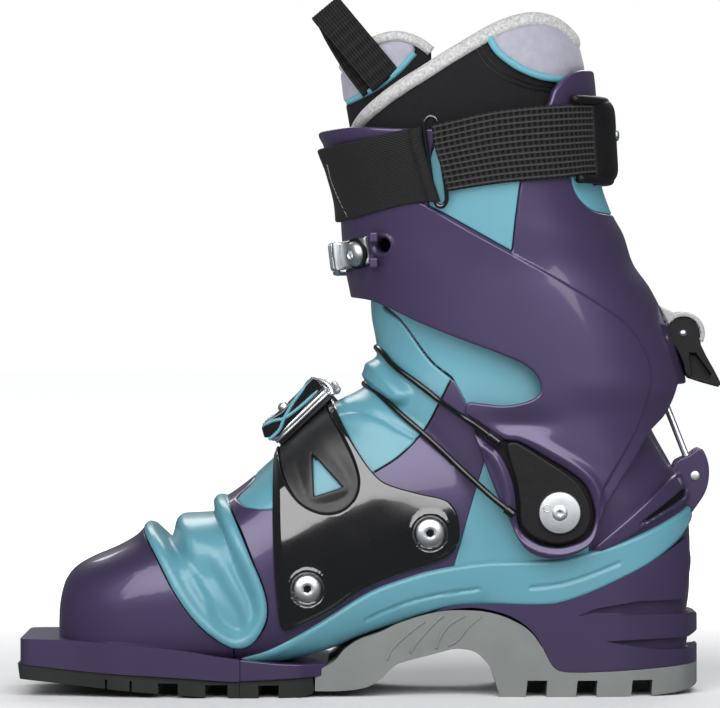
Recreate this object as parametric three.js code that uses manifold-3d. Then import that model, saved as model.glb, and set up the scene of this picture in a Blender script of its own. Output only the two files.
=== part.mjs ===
// Telemark ski boot, right foot, in millimetres. The toe points to -X, the medial side is -Y and +Z is up.
// The origin is on the ground, under the middle of the boot.
import * as THREE from 'three';
import { mergeVertices } from 'three/addons/utils/BufferGeometryUtils.js';
import Module from 'manifold-3d';

const wasm = await Module();
wasm.setup();

// ---------- driving dimensions ----------
const GAP = 0.35; // clearance between neighbouring pieces
const FINE = 14; // points round a section that shows
const COARSE = 10; // points round a section inside
const FLEX = { x: -55, z: 8 }; // axis across the ball of the foot
const FLEX_ANGLE = THREE.MathUtils.degToRad(21); // room left for the toe to bend
const PIVOT = { x: 79.7, z: 78.5 }; // cuff axis
const ANCHOR = { x: 139.5, z: 92.6 }; // pin that holds the walk rod
const ROD_ANGLE = THREE.MathUtils.degToRad(111.5); // rod direction from the anchor, up and forward
const WALK = { x: 134.3, z: 153.7 }; // pin of the walk lever
const SHELL_WALL = 4;
const CUFF_WALL = 3.2;
const LINER_WALL = 5.4;
const LINER_ROOM = 1.6; // between the shell's inside and the liner
const PIN_PLATE = { x: -141, spacing: 12 }; // three-pin line of the 75 mm norm

// ---------- colours ----------
const finish = (color, roughness, metalness = 0) => new THREE.MeshStandardMaterial({ color, roughness, metalness });
const PURPLE = finish(0x4d4170, 0.3, 0.3);
const TEAL = finish(0x6fb4c8, 0.4);
const BLACK = finish(0x151517, 0.2);
const DARK = finish(0x2c2c2e, 0.7);
const GREY = finish(0x8c908f, 0.8);
const STEEL = finish(0xc4c8ca, 0.3, 1);
const SILVER = finish(0xb9bcbd, 0.5, 0.3);
const FABRIC = finish(0x222226, 0.95);
const TRIM = finish(0xc9cacb, 0.9);

// ---------- curves and solids ----------

/** Smooth monotone curve through [station, value] pairs, level beyond its ends. */
function curve(pairs) {
  const step = pairs.slice(1).map((p, i) => (p[1] - pairs[i][1]) / (p[0] - pairs[i][0]));
  const slope = pairs.map((_, i) => {
    const before = step[Math.max(0, i - 1)];
    const after = step[Math.min(step.length - 1, i)];
    return before * after <= 0 ? 0 : (2 * before * after) / (before + after);
  });
  return (at) => {
    if (at <= pairs[0][0]) return pairs[0][1];
    const i = pairs.findIndex((p) => p[0] >= at) - 1;
    if (i < 0) return pairs[pairs.length - 1][1];
    const run = pairs[i + 1][0] - pairs[i][0];
    const t = (at - pairs[i][0]) / run;
    const rise = pairs[i + 1][1] - pairs[i][1];
    const bend = t * t * (3 - 2 * t) * rise;
    const lead = (t * t * t - 2 * t * t + t) * run * slope[i];
    const trail = (t * t * t - t * t) * run * slope[i + 1];
    return pairs[i][1] + bend + lead + trail;
  };
}

/** Manifold solid from a closed three.js geometry. */
function solid(geometry) {
  const plain = geometry.index ? geometry.toNonIndexed() : geometry.clone();
  for (const name of ['normal', 'uv']) plain.deleteAttribute(name);
  const merged = mergeVertices(plain, 1e-4);
  const vertProperties = new Float32Array(merged.attributes.position.array);
  const index = Array.from(merged.index.array);
  const whole = [];
  for (let i = 0; i < index.length; i += 3) {
    const [a, b, c] = index.slice(i, i + 3);
    if (a !== b && b !== c && c !== a) whole.push(a, b, c);
  }
  const made = new wasm.Manifold(new wasm.Mesh({ numProp: 3, vertProperties, triVerts: new Uint32Array(whole) }));
  if (made.volume() > 0) return made;
  for (let i = 0; i < whole.length; i += 3) [whole[i], whole[i + 1]] = [whole[i + 1], whole[i]];
  return new wasm.Manifold(new wasm.Mesh({ numProp: 3, vertProperties, triVerts: new Uint32Array(whole) }));
}

/** three.js geometry from a manifold solid. */
function geometryOf(body) {
  const mesh = body.getMesh();
  const position = new Float32Array(mesh.numVert * 3);
  for (let i = 0; i < mesh.numVert; i += 1) {
    for (let k = 0; k < 3; k += 1) position[i * 3 + k] = mesh.vertProperties[i * mesh.numProp + k];
  }
  const geometry = new THREE.BufferGeometry();
  geometry.setAttribute('position', new THREE.BufferAttribute(position, 3));
  geometry.setIndex(Array.from(mesh.triVerts));
  return geometry;
}

/** Closed solid through rings of equal length, with a fan at each end. */
function loft(rings) {
  const n = rings[0].length;
  const middle = (ring) => ring.reduce((sum, p) => sum.add(p), new THREE.Vector3()).divideScalar(n);
  const points = [...rings.flat(), middle(rings[0]), middle(rings[rings.length - 1])];
  const [first, last] = [points.length - 2, points.length - 1];
  const index = [];
  for (let i = 0; i < n; i += 1) {
    const j = (i + 1) % n;
    for (let r = 0; r < rings.length - 1; r += 1) {
      const [a, b] = [r * n + i, r * n + j];
      index.push(a, b, b + n, a, b + n, a + n);
    }
    const end = (rings.length - 1) * n;
    index.push(first, j, i, last, end + i, end + j);
  }
  const geometry = new THREE.BufferGeometry().setFromPoints(points);
  geometry.setIndex(index);
  return solid(geometry);
}

/** Prism of an [x, z] outline, from y = low to y = high. */
function prism(outline, low = -80, high = 80) {
  const shape = new THREE.Shape(outline.map(([x, z]) => new THREE.Vector2(x, z)));
  const geometry = new THREE.ExtrudeGeometry(shape, { depth: high - low, bevelEnabled: false });
  return solid(geometry.rotateX(Math.PI / 2).translate(0, high, 0));
}

/** Prism of an [x, y] outline, from z = low to z = high. */
function slab(outline, low, high) {
  const shape = new THREE.Shape(outline.map(([x, y]) => new THREE.Vector2(x, y)));
  return solid(new THREE.ExtrudeGeometry(shape, { depth: high - low, bevelEnabled: false }).translate(0, 0, low));
}

/** Box between two corners. */
function block(low, high) {
  const size = high.map((h, i) => h - low[i]);
  const centre = high.map((h, i) => (h + low[i]) / 2);
  return solid(new THREE.BoxGeometry(...size).translate(...centre));
}

/** Round bar along Y through (x, z). */
function barY(x, z, radius, low, high, sides = 20) {
  const bar = new THREE.CylinderGeometry(radius, radius, high - low, sides);
  return solid(bar.translate(x, (low + high) / 2, z));
}

/** An outline with each edge moved outwards by d. */
function grow(outline, d) {
  const area = outline.reduce((sum, [x, z], i) => {
    const [nx, nz] = outline[(i + 1) % outline.length];
    return sum + x * nz - nx * z;
  }, 0);
  const side = Math.sign(area) * d;
  const normal = ([ax, az], [bx, bz]) => {
    const length = Math.hypot(bx - ax, bz - az);
    return [(bz - az) / length, (ax - bx) / length];
  };
  return outline.map((p, i) => {
    const n0 = normal(outline[(i + outline.length - 1) % outline.length], p);
    const n1 = normal(p, outline[(i + 1) % outline.length]);
    const scale = side / Math.max(0.4, 1 + n0[0] * n1[0] + n0[1] * n1[1]);
    return [p[0] + (n0[0] + n1[0]) * scale, p[1] + (n0[1] + n1[1]) * scale];
  });
}

const EVERYTHING = block([-200, -100, -50], [200, 100, 400]);
const lateralOnly = block([-200, 0, -50], [200, 100, 400]);
const medialOnly = block([-200, -100, -50], [200, 0, 400]);

// ---------- foot form: upright sections along X ----------
const TOE_FRONT = -133;
const footTop = curve([[-133, 40], [-131, 47.5], [-127, 53], [-120, 57.3], [-110, 61.5], [-99, 66.5], [-86, 70.5],
  [-75, 75.5], [-64, 81], [-54, 88.5], [-41, 100], [-28, 112], [-17, 121.5], [-6, 128], [5, 134], [60, 140]]);
const footBottom = curve([[-133, 12], [-60, 12], [-40, 14], [-20, 18], [0, 24], [20, 29], [42, 31], [60, 30]]);
const footHalf = curve([[-133, 18], [-131, 25], [-127, 31], [-120, 36], [-110, 40.5], [-99, 43.5], [-86, 46],
  [-72, 47.2], [-55, 47], [-40, 46], [-25, 44.5], [-8, 42.5], [10, 41], [30, 39.5], [60, 36.5]]);
const FOOT_STATIONS = [-133, -130.5, -125, -114, -98, -84, -70, -55, -41, -28, -17, -6, 5, 24, 60];
const SIDE_HEIGHT = 0.36; // share of the section's height where the foot is widest

function footSection(x, offset, points) {
  const towardsToe = Math.max(0, 1 - (x - TOE_FRONT) / 20);
  const [top, bottom, half] = [footTop(x) + offset, footBottom(x) - offset, footHalf(x) + offset];
  const waist = bottom + (top - bottom) * SIDE_HEIGHT;
  return Array.from({ length: points }, (_, i) => {
    const angle = (i / points) * 2 * Math.PI;
    const [c, s] = [Math.cos(angle), Math.sin(angle)];
    const up = s > 0;
    const y = half * Math.sign(c) * Math.abs(c) ** (up ? 1 : 0.5);
    const z = waist + (up ? (top - waist) * s ** 0.9 : -(waist - bottom) * Math.abs(s) ** 0.5);
    return new THREE.Vector3(x - offset * towardsToe, y, z);
  });
}

// ---------- ankle form: level sections up the heel and ankle ----------
const ankleFront = curve([[14, 80], [24, 66], [30, 45], [36, 28], [45, 20], [70, 13], [100, 5], [118, 1], [129, -0.5], [138, 2.2], [146, 3.4],
  [163, 0.9], [176, 0.5]]);
const ankleBack = curve([[14, 128], [30, 135], [45, 137.5], [62, 137.8], [80, 136.5], [92, 132.2], [112, 121.4],
  [130, 113], [150, 107], [176, 103]]);
const ankleHalf = curve([[14, 32], [40, 38], [62, 40], [80, 41], [100, 40], [120, 38.5], [140, 37.5], [176, 38]]);
const ANKLE_STATIONS = [14, 24, 36, 50, 64, 80, 92, 112, 129, 138, 150, 176];

/** Level oval between front and back, as full as the exponent says. */
function oval(z, front, back, half, fullness, points = FINE) {
  return Array.from({ length: points }, (_, i) => {
    const angle = (i / points) * 2 * Math.PI;
    const [c, s] = [Math.cos(angle), Math.sin(angle)];
    const x = (front + back) / 2 + ((back - front) / 2) * Math.sign(c) * Math.abs(c) ** (2 / fullness);
    return new THREE.Vector3(x, half * Math.sign(s) * Math.abs(s) ** (2 / fullness), z);
  });
}

/** Outer form of foot and ankle, moved outwards by an offset. */
const forms = new Map();
function bootForm(offset) {
  if (!forms.has(offset)) {
    const points = offset < -SHELL_WALL ? COARSE : FINE;
    const foot = loft(FOOT_STATIONS.map((x) => footSection(x, offset, points)));
    const ankle = loft(ANKLE_STATIONS.map((z, i) => {
      const level = z - (i === 0 ? offset : 0);
      return oval(level, ankleFront(z) - offset, ankleBack(z) + offset, ankleHalf(z) + offset, 2.4, points);
    }));
    forms.set(offset, foot.add(ankle));
  }
  return forms.get(offset);
}

// ---------- cuff form ----------
const cuffFront = curve([[54, 12], [90, 8], [125, 0], [150, -5], [171, -8.5], [181, -10.5], [194, -12], [208, -13],
  [222, -16.5], [236, -21], [270, -22]]);
const cuffBack = curve([[54, 142], [80, 140], [100, 134], [119, 130], [132, 136], [142, 133.5], [157, 128.3],
  [173, 120.5], [184, 113], [196, 109], [205, 104.2], [220, 99.5], [259, 97], [270, 95.6]]);
const cuffHalf = curve([[54, 46.3], [80, 46.5], [140, 46], [175, 46], [205, 47.5], [240, 50], [270, 51]]);
const CUFF_STATIONS = [54, 78, 100, 119, 132, 142, 157, 173, 194, 208, 222, 236, 270];
const cuffForms = new Map();
function cuffForm(offset) {
  if (!cuffForms.has(offset)) {
    cuffForms.set(offset, loft(CUFF_STATIONS.map((z) => (
      oval(z, cuffFront(z) - offset, cuffBack(z) + offset, cuffHalf(z) + offset, 2.4)))));
  }
  return cuffForms.get(offset);
}

/** Half width of the outer form at a point of the side view. */
function sideOf(x, z) {
  const [top, bottom] = [footTop(x), footBottom(x)];
  const waist = bottom + (top - bottom) * SIDE_HEIGHT;
  const lift = Math.max(0, (z - waist) / (top - waist)) ** (1 / 0.9);
  const foot = x > 60 || lift > 1 ? 0 : footHalf(x) * Math.sqrt(1 - lift * lift);
  const [front, back] = [ankleFront(z), ankleBack(z)];
  const along = Math.abs((x - (front + back) / 2) / ((back - front) / 2));
  const ankle = z < 14 || along > 1 ? 0 : ankleHalf(z) * (1 - along ** 2.4) ** (1 / 2.4);
  return Math.max(foot, ankle);
}

// ---------- side-view outlines ----------
const toeCut = [-200, FLEX.x - GAP];
const wedge = (z) => FLEX.x - GAP - Math.max(0, z - FLEX.z) * Math.tan(FLEX_ANGLE);
const TOE_SIDE = [[-200, -20], [toeCut[1], -20], [toeCut[1], FLEX.z], [wedge(20.5), 20.5], [-66, 24], [-74, 31.5],
  [-82, 43], [-90, 58], [-94.5, 66], [-98, 72], [-98, 200], [-200, 200]];
const HEEL_SIDE = [[FLEX.x + GAP, -20], [FLEX.x + GAP, 20], [-48.6, 23.4], [-44.8, 30], [-44, 36.7], [-45.2, 45.2],
  [-50, 58], [-54.2, 68.4], [-59.2, 79], [-63, 84], [-63, 200], [200, 200], [200, -20]];
const BELLOWS = [[wedge(FLEX.z + 2) + 0.8, FLEX.z + 2], [wedge(20.5) + GAP, 20.7], [-65.8, 24.4], [-73.6, 31.8],
  [-81.6, 43.2], [-89.6, 58.2], [-94.1, 66.2], [-97.6, 72.2], [-97.6, 120], [-63.4, 120], [-63.4, 83.8],
  [-59.6, 78.8], [-54.6, 68.2], [-50.4, 57.8], [-45.6, 45], [-44.4, 36.7], [-45.2, 30.2], [-48.9, 23.8],
  [FLEX.x, 20.4], [FLEX.x, FLEX.z + 2]];
const BAND = [[-54.2, 16.2], [-44.4, 19], [-33.8, 24.1], [-21.2, 31.7], [-4.3, 42.6], [4.1, 46.8], [12.6, 49.8],
  [25.2, 53.6], [46.3, 57], [63.2, 57.8], [80.1, 58.7], [97, 62.9], [113.9, 67.9], [126.5, 73.4], [145, 80.8],
  [145, 77], [135, 70.5], [130.7, 65], [118.1, 55.7], [105.4, 49.4], [92.8, 43.9], [80.1, 39.7], [71.7, 38.8],
  [46.3, 38.8], [33.7, 38], [21, 35], [12.6, 32.1], [-4.3, 26.2], [-17, 20.7], [-29.6, 16.5], [-42.3, 14.8]];
const INSTEP_PANEL = [[-56.6, 84.4], [-46, 93.5], [-46, 115], [-14, 190], [5.6, 190], [5.4, 165.4], [12.6, 159.1],
  [25.2, 142.2], [33.7, 135.9], [29.5, 125.3], [23.1, 112.7], [12.6, 102.1], [0.8, 96.6], [-12.7, 84],
  [-40.2, 79.8], [-52.8, 80.2]];
const ANKLE_PANEL = [[6, 190], [75, 190], [75, 120], [85, 100], [85, 61], [34.5, 57.4], [44.7, 88], [48.5, 100.4],
  [42, 121], [40.9, 125.7], [34.4, 136.3], [25.9, 142.6], [13.2, 159.5], [6, 165.8]];
const RIM = [[-40, 176], [2, 174], [60, 160], [98, 119], [122, 114], [160, 114], [160, 300], [-40, 300]];
const CUFF_SIDE = [[-40, 171.2], [-1.8, 168], [4.1, 166.3], [21, 158.3], [37.9, 151.5], [54.8, 145.2],
  [68.3, 138.8], [72.5, 131.7], [70.8, 127.4], [65.3, 124.9], [56.9, 123.6], [46.3, 124.5], [41.3, 124.5],
  [39.6, 120.3], [42.5, 113.9], [48.5, 100.4], [55.2, 83.6], [59.8, 74.7], [62.8, 67.5], [67, 62.5], [73.8, 59.9],
  [81.4, 59.9], [88.5, 62.5], [92.8, 66.3], [97, 78.1], [105.4, 91.6], [113.9, 104.2], [119, 112], [126.6, 119.2],
  [129.6, 124.8], [131.3, 131.4], [150, 132.6], [150, 266.5], [85.2, 263], [76.7, 255.3], [74.2, 249.8],
  [64, 222], [60, 188], [24, 207.5], [24, 226], [28.2, 238], [12.6, 239.7], [-10.8, 241], [-40, 236]];
const CUFF_PANEL = [[24.6, 207.4], [60, 188.3], [63.6, 222], [73, 247], [50, 241], [28.6, 236.8], [24.6, 226]];
const HEEL_BLOCK = [[58, 38], [71.7, 38.4], [80.1, 39.3], [92.8, 43.5], [105.4, 49], [118.1, 55.3], [130.7, 64.5],
  [135, 70], [136, 62], [136.5, 53], [134.6, 47], [133.9, 37], [138.3, 34.6], [138.3, 29.4], [133.6, 26.6],
  [133.6, 22.8], [138.3, 20.8], [138.3, 15.2], [122.3, 12.6], [97, 11.4], [80.8, 11.8], [77.2, 14.2],
  [74.2, 20], [68, 28.6]];
const ARCH_SOLE = [[-23.3, 9.3], [-21, 11.8], [-14.9, 14.7], [-10.6, 20.2], [-4.3, 24.5], [4.1, 26.8], [12.6, 31.4],
  [29.5, 36.3], [42.1, 36.7], [50.6, 35.9], [59, 33.3], [67.4, 28], [73.6, 19.6], [76.6, 13.7], [80.1, 11.2],
  [97, 10.8], [122.3, 12], [138.3, 14.6], [138.3, 3.8], [124, 0.6], [116.8, 0], [116.8, 5], [112, 5], [112, 0],
  [98, 0], [98, 5], [91, 5], [91, 0], [79, 0], [79, 5], [72, 5], [72, 0], [55, 0], [52.7, 7.2], [50.6, 12.7],
  [46.3, 17.7], [42.1, 19.8], [35.8, 20.3], [31.6, 19.4], [25.2, 17.7], [12.6, 14.3], [9.2, 12.2], [4.1, 7.2],
  [-2, 4], [-12.7, 3], [-23.3, 3]];
const PLATE = [[-39.3, 106.3], [-40.2, 95.8], [-40.6, 74.7], [-40.2, 57.8], [-38.9, 40.9], [-36.4, 29.1],
  [-29.6, 31], [-17, 36.7], [-4.3, 45], [12.6, 52.2], [25.2, 56], [32.4, 59], [36.2, 62.9], [37.5, 68.4],
  [36.6, 76.8], [33.7, 81.9], [29.5, 84], [21, 85.7], [6.3, 90.3], [0.8, 95], [-4.3, 102.1], [-8.5, 109.3],
  [-14, 120.3], [-17, 130], [-39.3, 115]];
const PLATE_WINDOW = [[-23.3, 101], [-12.7, 88.6], [-22.9, 85.7]];
const PIVOT_PLATE = [[57.3, 106.5], [60, 107.2], [64, 105.8], [72, 100.4], [84.3, 92.8], [89, 88], [92, 81.5],
  [92.6, 75], [89.5, 69], [81, 65.6], [74, 66.3], [67.5, 69.5], [63.4, 74], [62.4, 83], [61, 92], [58, 101]];
const STRAP_FRONT = [[-34, 198], [-10, 202], [24, 208.5], [24, 239.6], [-10, 235], [-34, 231]];
const STRAP_REAR = [[32, 213.5], [55, 217], [80, 219], [95, 220.2], [95, 251.6], [80, 250.7], [55, 247.7], [32, 243.5]];
const STRAP_GUIDE = [[96, 216.5], [112, 219], [112, 255], [96, 253.5]];
const COLLAR_CUT = [[-40, 237], [-7, 240], [-2, 247], [12.6, 256], [29.5, 266.5], [46.3, 277], [54.8, 283.5],
  [67.4, 288], [80, 286.5], [100, 279], [100, 330], [-40, 330]];

// ---------- lower boot ----------
const floorHeight = [[-150, 20], [-60, 21], [-20, 27], [20, 38], [60, 41], [150, 43]];
const below = (lift) => prism([...floorHeight.map(([x, z]) => [x, z + lift]), [150, -40], [-150, -40]]);

/** Platform under the toe box and the front of the shell, with its flat duckbill. */
const PLATFORM_PLAN = [[-150.2, -33], [-148, -35], [-138, -37.5], [-126, -39.5], [-110, -43.5], [-90, -46],
  [-70, -47], [-50, -46.8], [-36, -45], [-24, -41], [-24, 41], [-36, 45], [-50, 46.8], [-70, 47], [-90, 46],
  [-110, 43.5], [-126, 39.5], [-138, 37.5], [-148, 35], [-150.2, 33]];
const PLATFORM_SIDE = [[-151, 14], [-120, 10.9], [-80, 8.6], [-55, 7.2], [-24, 8.6], [-24, 14], [-40, 15], [-54, 16.3],
  [-64, 17.4], [-80, 20.2], [-104, 22.2], [-130, 24.2], [-151, 24.2]];
const platform = slab(PLATFORM_PLAN, 0, 40).intersect(prism(PLATFORM_SIDE));

/** Walls of the boot form between two offsets, inside a side-view outline. */
const skin = (outline, outer, inner) => prism(outline).intersect(bootForm(outer)).subtract(bootForm(inner));
const rimCut = prism(RIM);
const hollow = bootForm(-SHELL_WALL).add(block([12, -31, 150], [94, 31, 200]));

const LUG = [[128, 84], [131, 96], [137, 99], [142, 103], [145, 97], [145.5, 92.6], [144.2, 86], [141.5, 80],
  [137.5, 76], [130, 74]];
const lugs = [[-9, -3.8], [3.8, 9]].map(([low, high]) => prism(LUG, low, high));
const LUG_BACK = [[128, 78], [128, 86], [134, 84], [138, 81.5], [140, 79], [138, 76]];
const bandRoom = prism(grow(BAND, GAP)).subtract(bootForm(-1.9)).intersect(bootForm(12));

function lowerShell() {
  let shell = prism(HEEL_SIDE).intersect(bootForm(0).add(platform)).subtract(rimCut);
  for (const lug of lugs) shell = shell.add(lug.subtract(bootForm(-1)));
  shell = shell.add(prism(LUG_BACK, -9, 9).subtract(bootForm(-1)));
  shell = shell.subtract(hollow).subtract(bandRoom);
  for (const outline of [INSTEP_PANEL, ANKLE_PANEL]) shell = shell.subtract(prism(grow(outline, GAP)));
  shell = shell.subtract(barY(ANCHOR.x, ANCHOR.z, 2.3, -20, 20));
  return shell.subtract(barY(PIVOT.x, PIVOT.z, 5.4, -60, 60));
}

const toeShell = prism(TOE_SIDE).intersect(bootForm(0).add(platform)).subtract(bootForm(-SHELL_WALL))
  .subtract(block([PIN_PLATE.x - 8, -24, 0], [PIN_PLATE.x + 8, 24, 16]));
const bellows = skin(BELLOWS, 0, -SHELL_WALL + 1);
const band = prism(BAND).intersect(bootForm(1.8)).subtract(bootForm(-1.5)).subtract(prism(LUG_BACK, -10, 10))
  .subtract(prism(grow(LUG, GAP), -10, 10));
const anklePanel = skin(ANKLE_PANEL, 0, -SHELL_WALL).subtract(rimCut)
  .subtract(barY(PIVOT.x, PIVOT.z, 5.4, -60, 60)).subtract(prism(grow(BAND, GAP)));
const SOLE_PLAN = [[-23.3, -39], [0, -37.5], [40, -37.5], [80, -38.5], [105, -37.5], [122, -32], [132, -24],
  [138.5, -11], [138.5, 11], [132, 24], [122, 32], [105, 37.5], [80, 38.5], [40, 37.5], [0, 37.5], [-23.3, 39]];
const heelBlock = prism(HEEL_BLOCK).intersect(slab(SOLE_PLAN, -5, 90)).subtract(bootForm(GAP));
const archSole = prism(ARCH_SOLE).intersect(slab(SOLE_PLAN, -5, 90)).subtract(bootForm(GAP));

/** Black rubber under the platform, cut by cross grooves. */
const RUBBER = [[-149.5, 13.2], [-120, 10.5], [-80, 8.2], [-55, 6.8], [-24.3, 8.2], [-24.3, 1.3], [-34, 0], [-55, 0],
  [-70, 0.4], [-89, 1.7], [-101, 2.5], [-114, 3.8], [-148.5, 7.4]];
const GROOVES = [[-112, -111], [-101.5, -100.5], [-89.5, -82.4], [-69.3, -62.5], [-47.3, -41.4]];
function rubber(from, to) {
  let body = prism(RUBBER).intersect(slab(PLATFORM_PLAN.map(([x, y]) => [x, y * 0.97]), -5, 40));
  for (const [start, end] of GROOVES) body = body.subtract(block([start, -60, -5], [end, 60, 5.6]));
  body = body.subtract(block([PIN_PLATE.x - 8.3, -24.3, 0], [PIN_PLATE.x + 8.3, 24.3, 16]));
  return body.intersect(block([from, -60, -5], [to, 60, 40]));
}

function pinPlate() {
  let plate = block([PIN_PLATE.x - 7.6, -23.6, 8.8], [PIN_PLATE.x + 7.6, 23.6, 11.2]);
  for (const y of [-PIN_PLATE.spacing, 0, PIN_PLATE.spacing]) {
    const pin = new THREE.CylinderGeometry(2.4, 2.4, 10, 12).rotateX(Math.PI / 2).translate(PIN_PLATE.x, y, 10);
    plate = plate.subtract(solid(pin));
  }
  return plate;
}

// ---------- liner ----------
const linerFront = curve([[98, 20], [129, 9], [146, 11], [172, 8], [196, -5], [240, -8], [270, -10], [292, -10]]);
const linerBack = curve([[98, 118], [112, 112], [130, 105], [150, 100], [172, 97.5], [200, 96.5], [240, 91],
  [265, 90.5], [292, 86]]);
const linerHalf = curve([[98, 33], [140, 31], [172, 31.5], [200, 41], [240, 44], [292, 43]]);
const LINER_STATIONS = [98, 115, 132, 152, 172, 196, 220, 245, 268, 292];
const leg = (offset) => loft(LINER_STATIONS.map((z) => (
  oval(z, linerFront(z) - offset, linerBack(z) + offset, linerHalf(z) + offset, 2.3, COARSE))));
const linerOuter = bootForm(-SHELL_WALL - LINER_ROOM).intersect(block([-200, -60, 0], [200, 60, 168])).add(leg(0));
const linerInner = bootForm(-SHELL_WALL - LINER_ROOM - LINER_WALL).add(leg(-LINER_WALL)).add(
  leg(-LINER_WALL).translate([0, 0, 12]));
const tongueInner = bootForm(-SHELL_WALL - LINER_ROOM - 11).add(leg(-LINER_WALL - 5.5)).add(
  leg(-LINER_WALL - 5.5).translate([0, 0, 12]));
const linerShoe = linerOuter.subtract(below(0.4)).subtract(prism(COLLAR_CUT));
const linerHollow = linerInner.subtract(below(LINER_WALL));
const linerToeCut = prism([[-200, -20], [FLEX.x - 3, -20], [wedge(20) - 3, 20], [wedge(100) - 3, 100], [-200, 100]]);
const TONGUE_SIDE = [[-8, 150], [26, 150], [30, 230], [30, 273], [21.5, 277], [12, 280], [3.4, 279], [-14, 268],
  [-14, 200]];
const liner = linerShoe.subtract(linerHollow).intersect(block([FLEX.x + 1, -60, 0], [200, 60, 400]));
const linerToe = linerShoe.subtract(linerHollow).intersect(linerToeCut);
const tongue = prism(TONGUE_SIDE, -24, 24).intersect(leg(-LINER_WALL - 0.5)
  .add(leg(-LINER_WALL - 0.5).translate([0, 0, 10]))).subtract(tongueInner);
const footbed = bootForm(-SHELL_WALL - LINER_ROOM - LINER_WALL - 0.5).intersect(below(LINER_WALL + 3.4))
  .subtract(below(LINER_WALL + 0.4)).intersect(block([-50, -40, 0], [118, 40, 90]));
const bootBoard = bootForm(-SHELL_WALL - LINER_ROOM).intersect(below(0)).intersect(block([FLEX.x + 2, -60, 0], [200, 60, 90]));

// ---------- cuff ----------
const pivotRoom = barY(PIVOT.x, PIVOT.z, 6.2, -70, 70);
const cuffShell = (outline, outer, inner) => prism(outline).intersect(cuffForm(outer)).subtract(cuffForm(inner));
const cuffOpen = cuffForm(-CUFF_WALL).add(cuffForm(-CUFF_WALL).translate([0, 0, 6]))
  .add(cuffForm(-CUFF_WALL).translate([0, 0, -6]).intersect(block([-50, -60, 30], [200, 60, 70])));
const cuff = prism(CUFF_SIDE).intersect(cuffForm(0)).subtract(cuffOpen).subtract(pivotRoom)
  .subtract(prism(grow(CUFF_PANEL, GAP), -80, 80)).subtract(block([100, -8, 0], [131.5, 8, 127]));
const cuffPanel = (side) => cuffShell(CUFF_PANEL, -0.6, -CUFF_WALL).intersect(side);

/** Piece of wall that stands between two offsets over the cuff, inside limits. */
const overCuff = (outline, outer, inner, side = EVERYTHING) => cuffShell(outline, outer, inner).intersect(side);

const CUFF_LADDER = [[-30, 183], [0.5, 186.5], [-0.8, 194.5], [-30, 190.8]];
const CUFF_LEVER = [[3, 180], [42, 184], [50, 187], [42, 191], [3, 195]];
const CUFF_BASE = [[-2, 182.5], [34, 184], [34, 190], [-2, 192.5]];
const CUFF_BAIL = [[-40, 185.2], [-4, 186.2], [-4, 189.2], [-40, 188.2]];

// ---------- fasteners and small hardware ----------

/** Turned screw or bolt along Y: its head faces the outside. */
function bolt(x, z, face, head, headHeight, shank, shankLength, outwards) {
  const profile = [[0, 0], [head * 0.3, 0], [head * 0.86, -0.5], [head, -1.2], [head, -headHeight],
    [shank, -headHeight], [shank, -headHeight - shankLength], [0, -headHeight - shankLength]];
  const points = profile.map(([r, h]) => new THREE.Vector2(r, h));
  const geometry = new THREE.LatheGeometry(points, 20);
  if (outwards < 0) geometry.rotateX(Math.PI);
  return solid(geometry.translate(x, face, z));
}

/** Round cord through points, as an extruded circle. */
function tube(points, radius, steps, sides = 6) {
  const path = new THREE.CatmullRomCurve3(points.map((p) => new THREE.Vector3(...p)));
  const circle = new THREE.Shape(Array.from({ length: sides }, (_, i) => {
    const angle = (i / sides) * 2 * Math.PI;
    return new THREE.Vector2(radius * Math.cos(angle), radius * Math.sin(angle));
  }));
  return solid(new THREE.ExtrudeGeometry(circle, { steps, extrudePath: path, bevelEnabled: false }));
}

const CABLE_RADIUS = 1.25;
const CABLE_LIFT = CABLE_RADIUS + 1.6;
const onSide = (x, z, side) => [x, side * (sideOf(x, z) + CABLE_LIFT), z];
const cableUpper = tube([[54.5, -49.2, 107.6], [47, -49, 113.3], [39.6, -48.2, 118.5], onSide(30, 125.4, -1),
  onSide(12, 139.5, -1), [2.5, -13, 149], [0.8, 0, 150.5], [2.5, 13, 148], [6, 24, 140], onSide(9, 131, 1)],
CABLE_RADIUS, 24);
const cableLower = tube([[60.4, -49.2, 77.5], [55.5, -48.6, 81.6], [50, -46.4, 86.2], onSide(37.9, 97.5, -1),
  onSide(25.2, 108.6, -1), onSide(12.6, 119, -1), [1, -17, 130.5], [-5, 0, 134.3], [-1, 17, 129.5],
  onSide(3.5, 122.5, 1)], CABLE_RADIUS, 24);

// ---------- closures over the foot ----------
const RIDGE = { x: -28.5, z: 117.5, angle: THREE.MathUtils.degToRad(43.5) }; // top of the forefoot plate
const RIDGE_HALF = 15;

/** Prism of a [y, height] outline along the instep ridge, between two places on it. */
function alongRidge(outline, from, to) {
  const shape = new THREE.Shape(outline.map(([y, h]) => new THREE.Vector2(y, h)));
  const geometry = new THREE.ExtrudeGeometry(shape, { depth: to - from, bevelEnabled: false });
  geometry.rotateX(Math.PI / 2).rotateZ(Math.PI / 2).translate(from, 0, 0);
  return solid(geometry.rotateY(-RIDGE.angle).translate(RIDGE.x, 0, RIDGE.z));
}
const FOREFOOT_LEVER = [[-15, 2.6], [-14, 6.6], [0, 9.4], [12, 9], [24, 5.6], [35, -2], [42, -13], [38.5, -15],
  [31.5, -5.5], [22, 1.8], [10, 4.6], [0, 4.8]];
const FOREFOOT_BAIL = [[-12.5, 0.4], [-12.5, 1.9], [8, 4.2], [8, 2.7]];
const FOREFOOT_LADDER = [[-14.5, -2.2], [-14.5, -0.4], [-2, 1.4], [-2, 0.2]];
const FOREFOOT_BASE_SIDE = [[-42, 78], [-30, 70], [-12, 84], [-14, 104], [-22, 108], [-40, 94]];
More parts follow.
